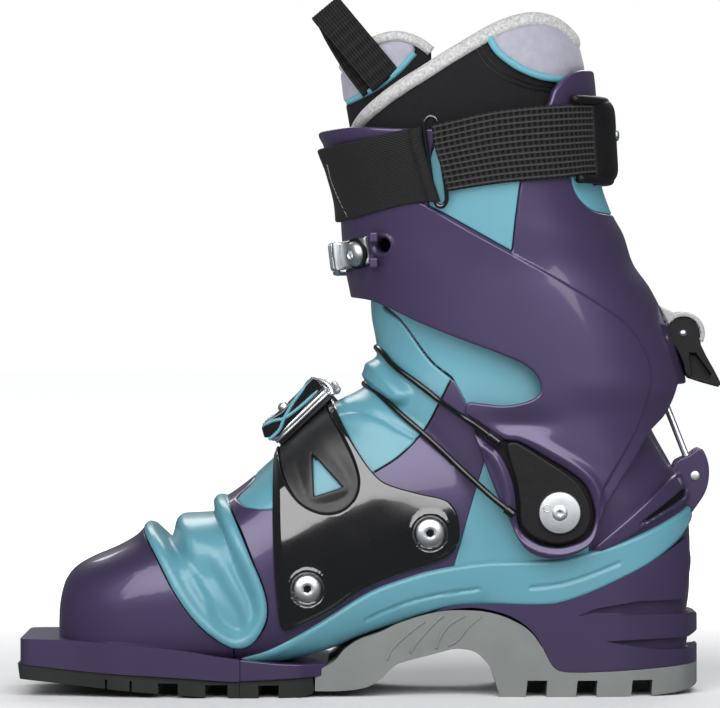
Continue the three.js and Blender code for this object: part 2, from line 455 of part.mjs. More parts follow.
const plateForm = prism(PLATE, -80, -6).intersect(bootForm(4.2)).subtract(bootForm(0.5));
const screwPlaces = [[-26.7, 46, 5.5], [25.2, 69.2, 5.9]];
let forefootPlate = plateForm.subtract(prism(PLATE_WINDOW)).subtract(prism(grow(BAND, 0.8)));
for (const [x, z] of screwPlaces) forefootPlate = forefootPlate.subtract(barY(x, z, 2.9, -80, -20));

const INSTEP_LEVER = [[-2, 74], [2, 70], [14, 70], [18, 74], [16, 110], [12, 116], [4, 116], [0, 110]];
const INSTEP_BASE = [[-1, 92], [17, 92], [15, 121], [1, 121]];

// ---------- walk mechanism ----------
const WALK_LEVER = [[131.2, 156.2], [134.3, 157.8], [137.8, 157], [140.6, 151], [144.2, 144.2], [150.2, 132.8],
  [149.2, 131.2], [142.3, 132.6], [138.6, 135], [136.8, 142.1], [134.6, 148.5]];
const HOUSING_SIDE = [[122.4, 167], [126, 167.8], [133.5, 165.8], [139.4, 162.4], [142.6, 156.6], [142.4, 149.6],
  [138, 146], [131, 150], [126, 160]];
const housing = prism(HOUSING_SIDE, -12.5, 12.5).subtract(prism([[128, 161.6], [137, 163.4], [150, 156], [150, 130],
  [120, 130]], -9.3, 9.3)).subtract(cuffForm(GAP)).subtract(barY(WALK.x, WALK.z, 2.2, -20, 20));
const walkLever = prism(WALK_LEVER, -8.8, 8.8).subtract(cuffForm(0.6)).subtract(barY(WALK.x, WALK.z, 2.2, -20, 20))
  .subtract(prism([[139, 136.5], [141, 143], [143.6, 141], [148, 133], [147, 120], [139, 120]], -6.6, 6.6));
const ROD_LENGTH = 78;
function rod() {
  const bar = new THREE.CylinderGeometry(1.5, 1.5, ROD_LENGTH, 12).rotateX(Math.PI / 2).translate(0, 0, ROD_LENGTH / 2);
  const eye = new THREE.CylinderGeometry(4, 4, 6, 16);
  const tilt = Math.PI / 2 - ROD_ANGLE;
  const made = solid(bar.rotateY(tilt)).add(solid(eye)).translate([ANCHOR.x, 0, ANCHOR.z]);
  return made.subtract(barY(ANCHOR.x, ANCHOR.z, 2.3, -10, 10));
}

// ---------- assembly ----------
const boot = new THREE.Group();
const groups = {};
function group(name) {
  if (!groups[name]) {
    groups[name] = new THREE.Group();
    boot.add(groups[name]);
  }
  return groups[name];
}
function place(body, name, made, material) {
  const mesh = new THREE.Mesh(geometryOf(made), material);
  mesh.name = name;
  group(body).add(mesh);
}

place('lower', 'lower_shell', lowerShell(), PURPLE);
place('lower', 'heel_block', heelBlock, PURPLE);
place('lower', 'rear_outsole', archSole, GREY);
place('lower', 'front_outsole_rear', rubber(FLEX.x + GAP, 0), DARK);
place('lower', 'bellows', bellows, TEAL);
place('lower', 'side_band', band, TEAL);
place('lower', 'instep_panel', skin(INSTEP_PANEL, 0, -SHELL_WALL).subtract(rimCut), TEAL);
place('lower', 'ankle_panel_medial', anklePanel.intersect(medialOnly), TEAL);
place('lower', 'ankle_panel_lateral', anklePanel.intersect(lateralOnly), TEAL);
place('lower', 'boot_board', bootBoard, DARK);
place('lower', 'liner', liner, FABRIC);
place('lower', 'footbed', footbed, TRIM);
place('lower', 'tongue', tongue, FABRIC);

place('toe', 'toe_shell', toeShell, PURPLE);
place('toe', 'front_outsole_toe', rubber(-200, FLEX.x - GAP), DARK);
place('toe', 'liner_toe', linerToe, FABRIC);
place('toe', 'pin_plate', pinPlate(), STEEL);

place('lower', 'forefoot_plate', forefootPlate, BLACK);
screwPlaces.forEach(([x, z, head], i) => {
  const face = -(sideOf(x, z) + 7.2);
  place('lower', `plate_screw_${i + 1}`, bolt(x, z, face, head, 2.2, 2.5, 3.4, -1), STEEL);
});
place('lower', 'forefoot_ladder', alongRidge(FOREFOOT_LADDER, -RIDGE_HALF, RIDGE_HALF)
  .subtract(bootForm(4.6)), STEEL);
const forefootBase = prism(FOREFOOT_BASE_SIDE, 6, 80).intersect(bootForm(4)).subtract(bootForm(0.5));
place('lower', 'forefoot_base', forefootBase, BLACK);
place('forefoot_lever', 'forefoot_lever', alongRidge(FOREFOOT_LEVER, -RIDGE_HALF, RIDGE_HALF)
  .subtract(bootForm(4.6)), BLACK);
place('forefoot_bail', 'forefoot_bail', alongRidge(FOREFOOT_BAIL, -RIDGE_HALF + 2, RIDGE_HALF - 2)
  .subtract(bootForm(4.9)), STEEL);

const overLateral = (outline, outer, inner) => prism(outline, 4, 80).intersect(bootForm(outer)).subtract(bootForm(inner));
place('lower', 'instep_base', overLateral(INSTEP_BASE, 2.6, 0.5), BLACK);
place('instep_lever', 'instep_lever', overLateral(INSTEP_LEVER, 8.6, 3.4), BLACK);
place('lower', 'instep_cable_upper', cableUpper, DARK);
place('lower', 'instep_cable_lower', cableLower, DARK);

place('cuff', 'cuff', cuff, PURPLE);
place('cuff', 'cuff_panel_medial', cuffPanel(medialOnly), TEAL);
place('cuff', 'cuff_panel_lateral', cuffPanel(lateralOnly), TEAL);
for (const [side, name] of [[-1, 'medial'], [1, 'lateral']]) {
  const inner = 47;
  const [low, high] = side < 0 ? [-inner - 2.4, -inner] : [inner, inner + 2.4];
  const plate = prism(PIVOT_PLATE, low, high).subtract(barY(PIVOT.x, PIVOT.z, 6.2, -80, 80));
  place('cuff', `pivot_plate_${name}`, plate, DARK);
  place('lower', `pivot_bolt_${name}`, bolt(PIVOT.x, PIVOT.z, side * 52.4, 8.7, 2.6, 5, 9, side), STEEL);
}
place('cuff', 'power_strap_front', overCuff(STRAP_FRONT, 3, 0.6), FABRIC);
for (const [side, name] of [[medialOnly, 'medial'], [lateralOnly, 'lateral']]) {
  place('cuff', `power_strap_rear_${name}`, overCuff(STRAP_REAR, 3.4, 0.8, side), FABRIC);
}
place('cuff', 'strap_guide', overCuff(STRAP_GUIDE, 5, 0.8), BLACK);
const LOOP_OUTER = [[25.2, 206], [31, 206.8], [31, 245.8], [25.2, 245]];
const LOOP_INNER = [[27, 208.4], [29.2, 208.8], [29.2, 243.6], [27, 243.2]];
for (const [side, name] of [[medialOnly, 'medial'], [lateralOnly, 'lateral']]) {
  const frame = overCuff(LOOP_OUTER, 3.6, 1.2, side).subtract(prism(LOOP_INNER));
  place('cuff', `strap_loop_${name}`, frame, DARK);
}
place('cuff', 'cuff_ladder', overCuff(CUFF_LADDER, 3, 0.4, block([-40, -46, 100], [20, -6, 300])), STEEL);
place('cuff', 'cuff_base', overCuff(CUFF_BASE, 1.9, 0.4, block([-5, 6, 100], [60, 80, 300])), BLACK);
place('cuff_lever', 'cuff_lever', overCuff(CUFF_LEVER, 6.4, 2.8, block([3, 6, 100], [60, 80, 300])), BLACK);
place('cuff_bail', 'cuff_bail', overCuff(CUFF_BAIL, 5.2, 3.4, block([-40, -24, 100], [0, 60, 300])), STEEL);

place('cuff', 'walk_housing', housing, SILVER);
place('cuff', 'walk_pin', barY(WALK.x, WALK.z, 1.9, -12, 12, 14), STEEL);
place('walk_lever', 'walk_lever', walkLever, BLACK);
place('rod', 'walk_rod', rod(), STEEL);
place('lower', 'anchor_pin', barY(ANCHOR.x, ANCHOR.z, 2, -10, 10, 14), STEEL);
const PULL_LOOP = [[-26.3, 288], [-15, 296.6], [13.5, 269.5], [3, 261]];
const pullSlit = prism([[-21, 284], [-11, 292], [30, 262], [0, 250]], -27.4, -25.6);
place('lower', 'pull_loop', prism(PULL_LOOP, -29, -24).subtract(pullSlit), FABRIC);

export default boot;
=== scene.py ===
"""Telemark ski boot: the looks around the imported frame. Lengths are millimetres until a mesh is made."""

import math

import bmesh
import bpy
import numpy as np
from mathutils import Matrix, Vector
from mathutils.bvhtree import BVHTree


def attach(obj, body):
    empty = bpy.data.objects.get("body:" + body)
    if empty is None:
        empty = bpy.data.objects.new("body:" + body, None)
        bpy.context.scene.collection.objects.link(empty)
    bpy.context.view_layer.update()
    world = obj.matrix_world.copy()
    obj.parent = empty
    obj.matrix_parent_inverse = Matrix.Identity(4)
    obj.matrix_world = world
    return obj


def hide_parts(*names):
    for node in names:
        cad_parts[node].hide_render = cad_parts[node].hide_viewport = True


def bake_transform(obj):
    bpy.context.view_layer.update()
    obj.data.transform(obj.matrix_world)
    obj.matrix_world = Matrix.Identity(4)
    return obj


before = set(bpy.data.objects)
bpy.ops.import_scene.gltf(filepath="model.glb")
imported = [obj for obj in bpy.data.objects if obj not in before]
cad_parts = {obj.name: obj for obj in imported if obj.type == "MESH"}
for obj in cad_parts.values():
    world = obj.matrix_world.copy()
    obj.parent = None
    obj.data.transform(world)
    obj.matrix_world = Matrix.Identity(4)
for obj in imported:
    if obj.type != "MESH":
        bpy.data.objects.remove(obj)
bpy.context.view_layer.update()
MM = 0.001
SIDES = ((-1, "medial"), (1, "lateral"))


# ---------- curves and outlines ----------
def full_turn(count):
    """Even angles all the way round."""
    return np.linspace(0, 2 * math.pi, count, endpoint=False)


def bent(value, power):
    """Power of a value that keeps its sign."""
    return np.sign(value) * np.abs(value) ** power


def curve(pairs):
    """Smooth monotone curve through (station, value) pairs, level beyond its ends."""
    xs, ys = np.array(pairs, float).T
    step = np.diff(ys) / np.diff(xs)
    before = np.r_[step[0], step]
    after = np.r_[step, step[-1]]
    total = np.where(np.abs(before + after) < 1e-9, 1.0, before + after)
    slope = np.where(before * after <= 0, 0.0, 2 * before * after / total)

    def at(x):
        x = np.clip(x, xs[0], xs[-1])
        i = np.clip(np.searchsorted(xs, x) - 1, 0, len(step) - 1)
        run = xs[i + 1] - xs[i]
        t = (x - xs[i]) / run
        rise = (ys[i + 1] - ys[i]) * t * t * (3 - 2 * t)
        lead = (t**3 - 2 * t * t + t) * run * slope[i]
        trail = (t**3 - t * t) * run * slope[i + 1]
        return ys[i] + rise + lead + trail

    return at


def smooth_line(points, closed=False, parts=7):
    """Dense line through points. A point whose last number is the text "k" keeps its corner."""
    raw = [p[:-1] if p[-1] == "k" else p for p in points]
    sharp = [p[-1] == "k" for p in points]
    p = np.array(raw, float)
    n = len(p)
    out = []
    for i in range(n if closed else n - 1):
        a, b = p[i], p[(i + 1) % n]
        before = p[(i - 1) % n] if closed or i > 0 else a
        after = p[(i + 2) % n] if closed or i < n - 2 else b
        length = np.linalg.norm(b - a)
        lead = b - a if sharp[i] else (b - before) * length / (length + np.linalg.norm(a - before) + 1e-9)
        reach = length + np.linalg.norm(after - b) + 1e-9
        trail = b - a if sharp[(i + 1) % n] else (after - a) * length / reach
        for t in np.arange(parts) / parts:
            h1, h2 = t * t * (3 - 2 * t), t**3 - 2 * t * t + t
            out.append(a + (b - a) * h1 + lead * h2 + trail * (t**3 - t * t))
    if not closed:
        out.append(p[-1])
    return np.array(out)


def to_line(points, line, closed=False):
    """Distance from each point to a line, and for a closed line which points are inside."""
    start = line
    end = np.roll(line, -1, axis=0)
    if not closed:
        start, end = start[:-1], end[:-1]
    best = np.full(len(points), 1e9)
    inside = np.zeros(len(points), bool)
    for a, b in zip(start, end):
        run = b - a
        t = np.clip(((points - a) @ run) / max(run @ run, 1e-12), 0, 1)
        gap = points - a - t[:, None] * run
        best = np.minimum(best, (gap * gap).sum(1))
        if closed:
            spans = (a[1] > points[:, 1]) != (b[1] > points[:, 1])
            if spans.any():
                cross = a[0] + (points[:, 1] - a[1]) * run[0] / (run[1] if run[1] else 1e-12)
                inside ^= spans & (points[:, 0] < cross)
    return np.sqrt(best), inside


class Outline:
    """Closed outline in the side view (x, z)."""

    def __init__(self, points, parts=6):
        self.line = smooth_line(points, closed=True, parts=parts)

    def signed(self, points):
        """Distance to the outline, negative inside."""
        gap, inside = to_line(points[:, [0, 2]], self.line, closed=True)
        return np.where(inside, -gap, gap)


def inside(outline):
    """Limit of a region that lies inside an outline."""
    return outline.signed


def outside(outline):
    """Limit of a region that lies outside an outline."""
    return lambda points: -outline.signed(points)


class Mark:
    """Open line in the side view."""

    def __init__(self, points, parts=6):
        self.line = smooth_line(points, parts=parts)

    def gap(self, points):
        return to_line(points[:, [0, 2]], self.line)[0]


# ---------- meshes ----------
def normals_of(points, faces):
    a, b, c = (points[faces[:, k]] for k in range(3))
    face = np.cross(b - a, c - a)
    out = np.zeros_like(points)
    for k in range(3):
        np.add.at(out, faces[:, k], face)
    return out / np.maximum(np.linalg.norm(out, axis=1, keepdims=True), 1e-12)


def mesh_object(name, points, faces):
    """Object from points in millimetres and triangles or quads."""
    mesh = bpy.data.meshes.new(name)
    mesh.from_pydata((np.asarray(points) * MM).tolist(), [], [tuple(f) for f in faces])
    mesh.validate()
    mesh.shade_smooth()
    made = bpy.data.objects.new(name, mesh)
    bpy.context.scene.collection.objects.link(made)
    return made


def dress(made, body, material, replaces=()):
    """Gives a piece its body, its finish and the CAD nodes it stands for."""
    made.data.materials.clear()
    made.data.materials.append(material)
    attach(made, body)
    if replaces:
        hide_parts(*replaces)
    return made


def tube_grid(rows, close_ends=False):
    """Points and faces of rings joined one after the other."""
    count, around = len(rows), len(rows[0])
    points = np.concatenate(rows)
    i = np.arange(around)
    j = (i + 1) % around
    faces = []
    for r in range(count - 1):
        low, high = r * around, (r + 1) * around
        faces.append(np.stack([low + i, low + j, high + j], 1))
        faces.append(np.stack([low + i, high + j, high + i], 1))
    faces = np.concatenate(faces)
    if close_ends:
        first, last = len(points), len(points) + 1
        points = np.vstack([points, rows[0].mean(0), rows[-1].mean(0)])
        end = (count - 1) * around
        faces = np.vstack([faces, np.stack([np.full(around, first), j, i], 1),
                           np.stack([np.full(around, last), end + i, end + j], 1)])
    return points, faces


def evaluated(made):
    """Points and triangles of an object after its modifiers, in millimetres; the object itself goes."""
    graph = bpy.context.evaluated_depsgraph_get()
    mesh = made.evaluated_get(graph).to_mesh()
    mesh.calc_loop_triangles()
    points = np.zeros(len(mesh.vertices) * 3)
    mesh.vertices.foreach_get("co", points)
    faces = np.zeros(len(mesh.loop_triangles) * 3, np.int32)
    mesh.loop_triangles.foreach_get("vertices", faces)
    made.evaluated_get(graph).to_mesh_clear()
    bpy.data.objects.remove(made)
    return points.reshape(-1, 3) / MM, faces.reshape(-1, 3)


def relax(points, faces, rounds, weight=None):
    """Moves each point towards the mean of its neighbours."""
    a = np.concatenate([faces[:, 0], faces[:, 1], faces[:, 2]])
    b = np.concatenate([faces[:, 1], faces[:, 2], faces[:, 0]])
    count = np.bincount(a, minlength=len(points))[:, None]
    for _ in range(rounds):
        total = np.zeros_like(points)
        np.add.at(total, a, points[b])
        mean = total / np.maximum(count, 1)
        points = points + (mean - points) * (0.5 if weight is None else weight[:, None])
    return points


class Surface:
    """Triangles with a normal and a set of fields at each point."""

    def __init__(self, points, faces, normals=None):
        self.points, self.faces = points, faces
        self.normals = normals_of(points, faces) if normals is None else normals
        self.fields = np.zeros((len(points), 0))

    def crop(self, low, high):
        middle = self.points[self.faces].mean(1)
        keep = ((middle > low) & (middle < high)).all(1)
        return self.pick(keep)

    def pick(self, keep):
        faces = self.faces[keep]
        used, index = np.unique(faces, return_inverse=True)
        out = Surface(self.points[used], index.reshape(-1, 3), self.normals[used])
        out.fields = self.fields[used]
        return out

    def add(self, values):
        self.fields = np.column_stack([self.fields, values])
        return self.fields.shape[1] - 1

    def split(self, column, level):
        """New points and edges where a field crosses a level."""
        value = self.fields[:, column] - level
        value = np.where(np.abs(value) < 0.02, 0.0, value)
        sign = np.sign(value).astype(int)
        s = sign[self.faces]
        crossed = (s.min(1) < 0) & (s.max(1) > 0)
        stay, cut = self.faces[~crossed], self.faces[crossed]
        if not len(cut):
            return
        data = np.hstack([self.points, self.normals, self.fields])
        made, total, out = {}, len(data), []
        extra = []

        def between(a, b):
            nonlocal total
            key = (a, b) if a < b else (b, a)
            if key not in made:
                t = value[a] / (value[a] - value[b])
                extra.append(data[a] + (data[b] - data[a]) * t)
                made[key] = total
                total += 1
            return made[key]

        for face in cut.tolist():
            signs = [sign[v] for v in face]
            if 0 in signs:
                k = signs.index(0)
                a, b, c = face[k], face[(k + 1) % 3], face[(k + 2) % 3]
                m = between(b, c)
                out += [(a, b, m), (a, m, c)]
                continue
            lone = 1 if signs.count(1) == 1 else -1
            k = signs.index(lone)
            a, b, c = face[k], face[(k + 1) % 3], face[(k + 2) % 3]
            p, q = between(a, b), between(a, c)
            out += [(a, p, q), (p, b, c), (p, c, q)]
        data = np.vstack([data, np.array(extra)])
        self.points, self.normals, self.fields = data[:, :3], data[:, 3:6], data[:, 6:]
        self.normals = self.normals / np.linalg.norm(self.normals, axis=1, keepdims=True)
        self.faces = np.vstack([stay, np.array(out)])

    def refined(self):
        """Each triangle cut into four."""
        f = self.faces
        edges = np.sort(np.concatenate([f[:, [0, 1]], f[:, [1, 2]], f[:, [2, 0]]]), axis=1)
        pairs, index = np.unique(edges, axis=0, return_inverse=True)
        index = index.ravel() + len(self.points)
        m0, m1, m2 = np.split(index, 3)
        corners = ((f[:, 0], m0, m2), (m0, f[:, 1], m1), (m2, m1, f[:, 2]), (m0, m1, m2))
        faces = np.vstack([np.stack(c, 1) for c in corners])

        def halves(a):
            return np.vstack([a, (a[pairs[:, 0]] + a[pairs[:, 1]]) / 2])

        out = Surface(halves(self.points), faces, halves(self.normals))
        out.normals /= np.linalg.norm(out.normals, axis=1, keepdims=True)
        out.fields = halves(self.fields)
        return out

    def below(self, column, level):
        """Keeps the part where a field is under a level."""
        self.split(column, level)
        middle = self.fields[self.faces, column].mean(1)
        return self.pick(middle < level)


def sheet_faces(along, across):
    """Triangles of a grid of points."""
    i = np.arange(along * across).reshape(along, across)
    a, b, c, d = i[:-1, :-1].ravel(), i[1:, :-1].ravel(), i[1:, 1:].ravel(), i[:-1, 1:].ravel()
    return np.vstack([np.stack([a, b, c], 1), np.stack([a, c, d], 1)])


def walls(points, under, faces):
    """Closed solid between a sheet and the sheet under it."""
    edges = np.concatenate([faces[:, [0, 1]], faces[:, [1, 2]], faces[:, [2, 0]]])
    there = edges[:, 0].astype(np.int64) * len(points) + edges[:, 1]
    back = edges[:, 1].astype(np.int64) * len(points) + edges[:, 0]
    rim = edges[~np.isin(there, back)]
    n = len(points)
    side = np.vstack([np.stack([rim[:, 1], rim[:, 0], rim[:, 0] + n], 1),
                      np.stack([rim[:, 1], rim[:, 0] + n, rim[:, 1] + n], 1)])
    return np.vstack([points, under]), np.vstack([faces, faces[:, ::-1] + n, side])


def region(base, limits, rings=(), marks=(), low=None, high=None, first=()):
    """Part of a surface inside all outlines, with its depth: how far in from the edge each point is."""
    if low is not None:
        base = base.crop(np.array(low), np.array(high))
    part = Surface(base.points, base.faces, base.normals)
    for measure, levels in first:
        column = part.add(measure(part.points))
        for level in levels:
            part.split(column, level)
    edge = part.add(np.max([f(part.points) for f in limits], axis=0))
    part = part.below(edge, 0.0)
    for ring in rings:
        part.split(edge, -ring)
    for measure, levels in marks:
        column = part.add(measure(part.points))
        for level in levels:
            part.split(column, level)
    part.depth = -part.fields[:, edge]
    return part


def rolled(depth, radius):
    """Drop of an edge rounded to a radius."""
    t = np.clip(1 - depth / radius, 0, 1)
    return -radius * (1 - np.sqrt(np.maximum(0, 1 - t * t)))


def ring_set(radius):
    """Distances in from an edge where a rolled edge needs points."""
    return [radius * k for k in (0.06, 0.2, 0.42, 0.7, 1.0, 1.6)]


def groove(gap, width, depth):
    """Round-bottomed groove."""
    return -depth * np.exp(-((gap / width) ** 2))


def ramp(value, start, end):
    """Smooth step from 0 at one value to 1 at another."""
    t = np.clip((value - start) / (end - start), 0, 1)
    return t * t * (3 - 2 * t)


def shell_piece(name, part, body, material, thick=3.0, roll=1.0, lift=0.0, replaces=()):
    """Solid piece over a region: lifted along the normals, its edge rolled over, and given a thickness."""
    top = part.points + part.normals * (lift + rolled(part.depth, roll))[:, None]
    under = part.points - part.normals * thick
    points, faces = walls(top, under, part.faces)
    return dress(mesh_object(name, points, faces), body, material, replaces)


# ---------- materials ----------
def finish(name, color, roughness, metallic=0.0, coat=0.0, coat_rough=0.05, sheen=0.0, specular=0.5,
           noise=(0.0, 40.0), bump=(0.0, 900.0), wear=(0.0, 120.0)):
    """Procedural plastic, metal or cloth: colour shift, fine surface grain and broad gloss variation."""
    made = bpy.data.materials.new(name)
    made.use_nodes = True
    tree = made.node_tree
    shader = tree.nodes["Principled BSDF"]
    shader.inputs["Metallic"].default_value = metallic
    shader.inputs["Coat Weight"].default_value = coat
    shader.inputs["Coat Roughness"].default_value = coat_rough
    shader.inputs["Sheen Weight"].default_value = sheen
    shader.inputs["Specular IOR Level"].default_value = specular
    place = tree.nodes.new("ShaderNodeTexCoord")

    def noise_node(scale, detail=3.0):
        node = tree.nodes.new("ShaderNodeTexNoise")
        node.inputs["Scale"].default_value = scale
        node.inputs["Detail"].default_value = detail
        tree.links.new(place.outputs["Object"], node.inputs["Vector"])
        return node

    broad = noise_node(noise[1])
    tint = tree.nodes.new("ShaderNodeMix")
    tint.data_type = "RGBA"
    dark = [c * (1 - noise[0]) for c in color]
    light = [min(1.0, c * (1 + noise[0])) for c in color]
    tint.inputs["A"].default_value = (*dark, 1)
    tint.inputs["B"].default_value = (*light, 1)
    tree.links.new(broad.outputs["Fac"], tint.inputs["Factor"])
    tree.links.new(tint.outputs["Result"], shader.inputs["Base Color"])
    gloss = tree.nodes.new("ShaderNodeMapRange")
    gloss.inputs["To Min"].default_value = max(0.02, roughness - wear[0])
    gloss.inputs["To Max"].default_value = roughness + wear[0]
    patch = noise_node(wear[1], 4.0)
    tree.links.new(patch.outputs["Fac"], gloss.inputs["Value"])
    tree.links.new(gloss.outputs["Result"], shader.inputs["Roughness"])
    if bump[0]:
        grain = noise_node(bump[1], 2.0)
        lifted = tree.nodes.new("ShaderNodeBump")
        lifted.inputs["Strength"].default_value = 1.0
        lifted.inputs["Distance"].default_value = bump[0]
        tree.links.new(grain.outputs["Fac"], lifted.inputs["Height"])
        tree.links.new(lifted.outputs["Normal"], shader.inputs["Normal"])
    return made


PURPLE = finish("pearl_purple", (0.063, 0.044, 0.11), 0.36, 0.45, 0.6, 0.07, noise=(0.06, 30),
                bump=(0.000008, 2600), wear=(0.03, 60))
TEAL = finish("teal_plastic", (0.1, 0.285, 0.35), 0.36, 0.0, 0.2, 0.16, noise=(0.04, 30),
              bump=(0.000008, 2200), wear=(0.03, 80))
BLACK = finish("gloss_black", (0.004, 0.004, 0.005), 0.1, 0.0, 1.0, 0.03, specular=0.9,
               noise=(0.2, 50), bump=(0.000003, 1600), wear=(0.03, 50))
DISH = finish("satin_black_dish", (0.016, 0.016, 0.017), 0.42, noise=(0.4, 400),
              bump=(0.00004, 1800), wear=(0.06, 90))
SATIN = finish("satin_black", (0.006, 0.006, 0.007), 0.45, specular=0.3, noise=(0.3, 300),
               bump=(0.00009, 1500), wear=(0.08, 200))
RUBBER = finish("black_rubber", (0.015, 0.016, 0.0155), 0.72, specular=0.35, noise=(0.35, 60),
                bump=(0.00009, 1300), wear=(0.08, 100))
GREY_RUBBER = finish("grey_rubber", (0.172, 0.184, 0.18), 0.62, noise=(0.16, 60),
                     bump=(0.00008, 1200), wear=(0.08, 120))
ZINC = finish("zinc_steel", (0.8, 0.83, 0.85), 0.42, 1.0, noise=(0.12, 160),
              bump=(0.00001, 1400), wear=(0.08, 260))
SILVER = finish("silver_plastic", (0.42, 0.43, 0.44), 0.38, 0.55, noise=(0.08, 200),
                bump=(0.00001, 2000), wear=(0.05, 150))
CABLE = finish("cable_black", (0.004, 0.004, 0.005), 0.24, 0.0, 0.4, 0.1, noise=(0.2, 200),
               bump=(0.00001, 1800), wear=(0.04, 200))
NEOPRENE = finish("liner_neoprene", (0.008, 0.008, 0.01), 0.92, sheen=0.03, specular=0.25,
                  noise=(0.6, 1500), bump=(0.0002, 1500), wear=(0.04, 200))
PANEL = finish("liner_panel", (0.3, 0.3, 0.355), 0.85, sheen=0.2, noise=(0.16, 260),
               bump=(0.00014, 900), wear=(0.04, 200))
RIM = finish("heathered_rim", (0.42, 0.42, 0.42), 0.92, sheen=0.2, noise=(0.75, 900),
             bump=(0.0003, 1100), wear=(0.04, 200))
PIPING = finish("teal_piping", (0.1, 0.32, 0.4), 0.7, sheen=0.2, noise=(0.2, 900),
                bump=(0.00015, 1500), wear=(0.05, 200))
FELT = finish("footbed_felt", (0.16, 0.16, 0.18), 0.95, sheen=0.3, noise=(0.3, 900),
              bump=(0.0002, 900), wear=(0.03, 200))

# ---------- boot form ----------
foot_top = curve([
    (-133, 40), (-131, 47.5), (-127, 53), (-120, 57.3), (-110, 61.5), (-99, 66.5), (-86, 70.5), (-75, 75.5),
    (-64, 81), (-54, 88.5), (-41, 100), (-28, 112), (-17, 121.5), (-6, 128), (5, 134), (60, 140)])
foot_bottom = curve([(-133, 12), (-60, 12), (-40, 14), (-20, 18), (0, 24), (20, 29), (42, 31), (60, 30)])
foot_half = curve([
    (-133, 18), (-131, 25), (-127, 31), (-120, 36), (-110, 40.5), (-99, 43.5), (-86, 46), (-72, 47.2),
    (-55, 47), (-40, 46), (-25, 44.5), (-8, 42.5), (10, 41), (30, 39.5), (60, 36.5)])
shoulder = curve([(-133, 0.74), (-70, 0.74), (-20, 0.86), (10, 0.95)])  # how square the top corners are
SIDE_HEIGHT = 0.36


def foot_ring(x, count=150):
    top, bottom, half, square = foot_top(x), foot_bottom(x), foot_half(x), shoulder(x)
    waist = bottom + (top - bottom) * SIDE_HEIGHT
    angle = full_turn(count)
    c, s = np.cos(angle), np.sin(angle)
    up = s > 0
    y = half * bent(c, np.where(up, square, 0.5))
    z = waist + np.where(up, (top - waist) * np.abs(s) ** (0.9 * square),
                         -(waist - bottom) * np.abs(s) ** 0.5)
    return np.column_stack([np.full(count, x), y, z])


ankle_front = curve([
    (14, 80), (24, 66), (30, 45), (36, 28), (45, 20), (70, 13), (100, 5), (118, 1), (129, -0.5), (138, 2.2),
    (146, 3.4), (163, 0.9), (176, 0.5)])
ankle_back = curve([
    (14, 128), (30, 135), (45, 137.5), (62, 137.8), (80, 136.5), (92, 132.2), (112, 121.4), (130, 113),
    (150, 107), (176, 103)])
ankle_half = curve([(14, 32), (40, 38), (62, 40), (80, 41), (100, 40), (120, 38.5), (140, 37.5), (176, 38)])


def oval(z, front, back, half, fullness=2.4, count=160):
    angle = full_turn(count)
    c, s = np.cos(angle), np.sin(angle)
    x = (front + back) / 2 + (back - front) / 2 * bent(c, 2 / fullness)
    return np.column_stack([x, half * bent(s, 2 / fullness), np.full(count, z)])


def boot_surface():
    """Foot and ankle as one smooth surface."""
    stations = np.unique(np.r_[np.linspace(-133, -120, 22), np.linspace(-120, 60, 130)])
    foot = tube_grid([foot_ring(x) for x in stations], close_ends=True)
    heights = np.linspace(14, 176, 110)
    ankle_rows = [oval(z, ankle_front(z), ankle_back(z), ankle_half(z)) for z in heights]
    ankle = tube_grid(ankle_rows, close_ends=True)
    points = np.vstack([foot[0], ankle[0]])
    faces = np.vstack([foot[1][:, ::-1], ankle[1] + len(foot[0])])
    whole = mesh_object("form", points, faces)
    remesh = whole.modifiers.new("remesh", "REMESH")
    remesh.mode = "VOXEL"
    remesh.voxel_size = 1.35 * MM
    points, faces = evaluated(whole)
    points = relax(points, faces, 4)
    normals = relax(normals_of(points, faces), faces, 3)
    return Surface(points, faces, normals / np.linalg.norm(normals, axis=1, keepdims=True))


cuff_front = curve([
    (54, 12), (90, 8), (125, 0), (150, -5), (171, -8.5), (181, -10.5), (194, -12), (208, -13), (222, -16.5),
    (236, -21), (270, -22)])
cuff_back = curve([
    (54, 142), (80, 140), (100, 134), (119, 130), (132, 136), (142, 133.5), (157, 128.3), (173, 120.5),
    (184, 113), (196, 109), (205, 104.2), (220, 99.5), (259, 97), (270, 95.6)])
cuff_half = curve([(54, 46.3), (80, 46.5), (140, 46), (175, 46), (205, 47.5), (240, 50), (270, 51)])


def cuff_surface():
    """Outside of the cuff, from the pivots to the top."""
    heights = np.linspace(54, 270, 190)
    return Surface(*tube_grid([oval(z, cuff_front(z), cuff_back(z), cuff_half(z),
                                    count=300) for z in heights]))


boot = boot_surface()
upper = cuff_surface()


class Finder:
    """Points of a surface looked up from outside."""

    def __init__(self, surface):
        self.tree = BVHTree.FromPolygons(surface.points.tolist(), surface.faces.tolist())

    def side(self, x, z, side=-1, lift=0.0):
        """Point and normal of the flank at (x, z)."""
        spot, normal, _, _ = self.tree.ray_cast(Vector((x, side * 200, z)), Vector((0, -side, 0)))
        return (spot + normal * lift, normal) if spot else (None, None)


on_boot, on_upper = Finder(boot), Finder(upper)

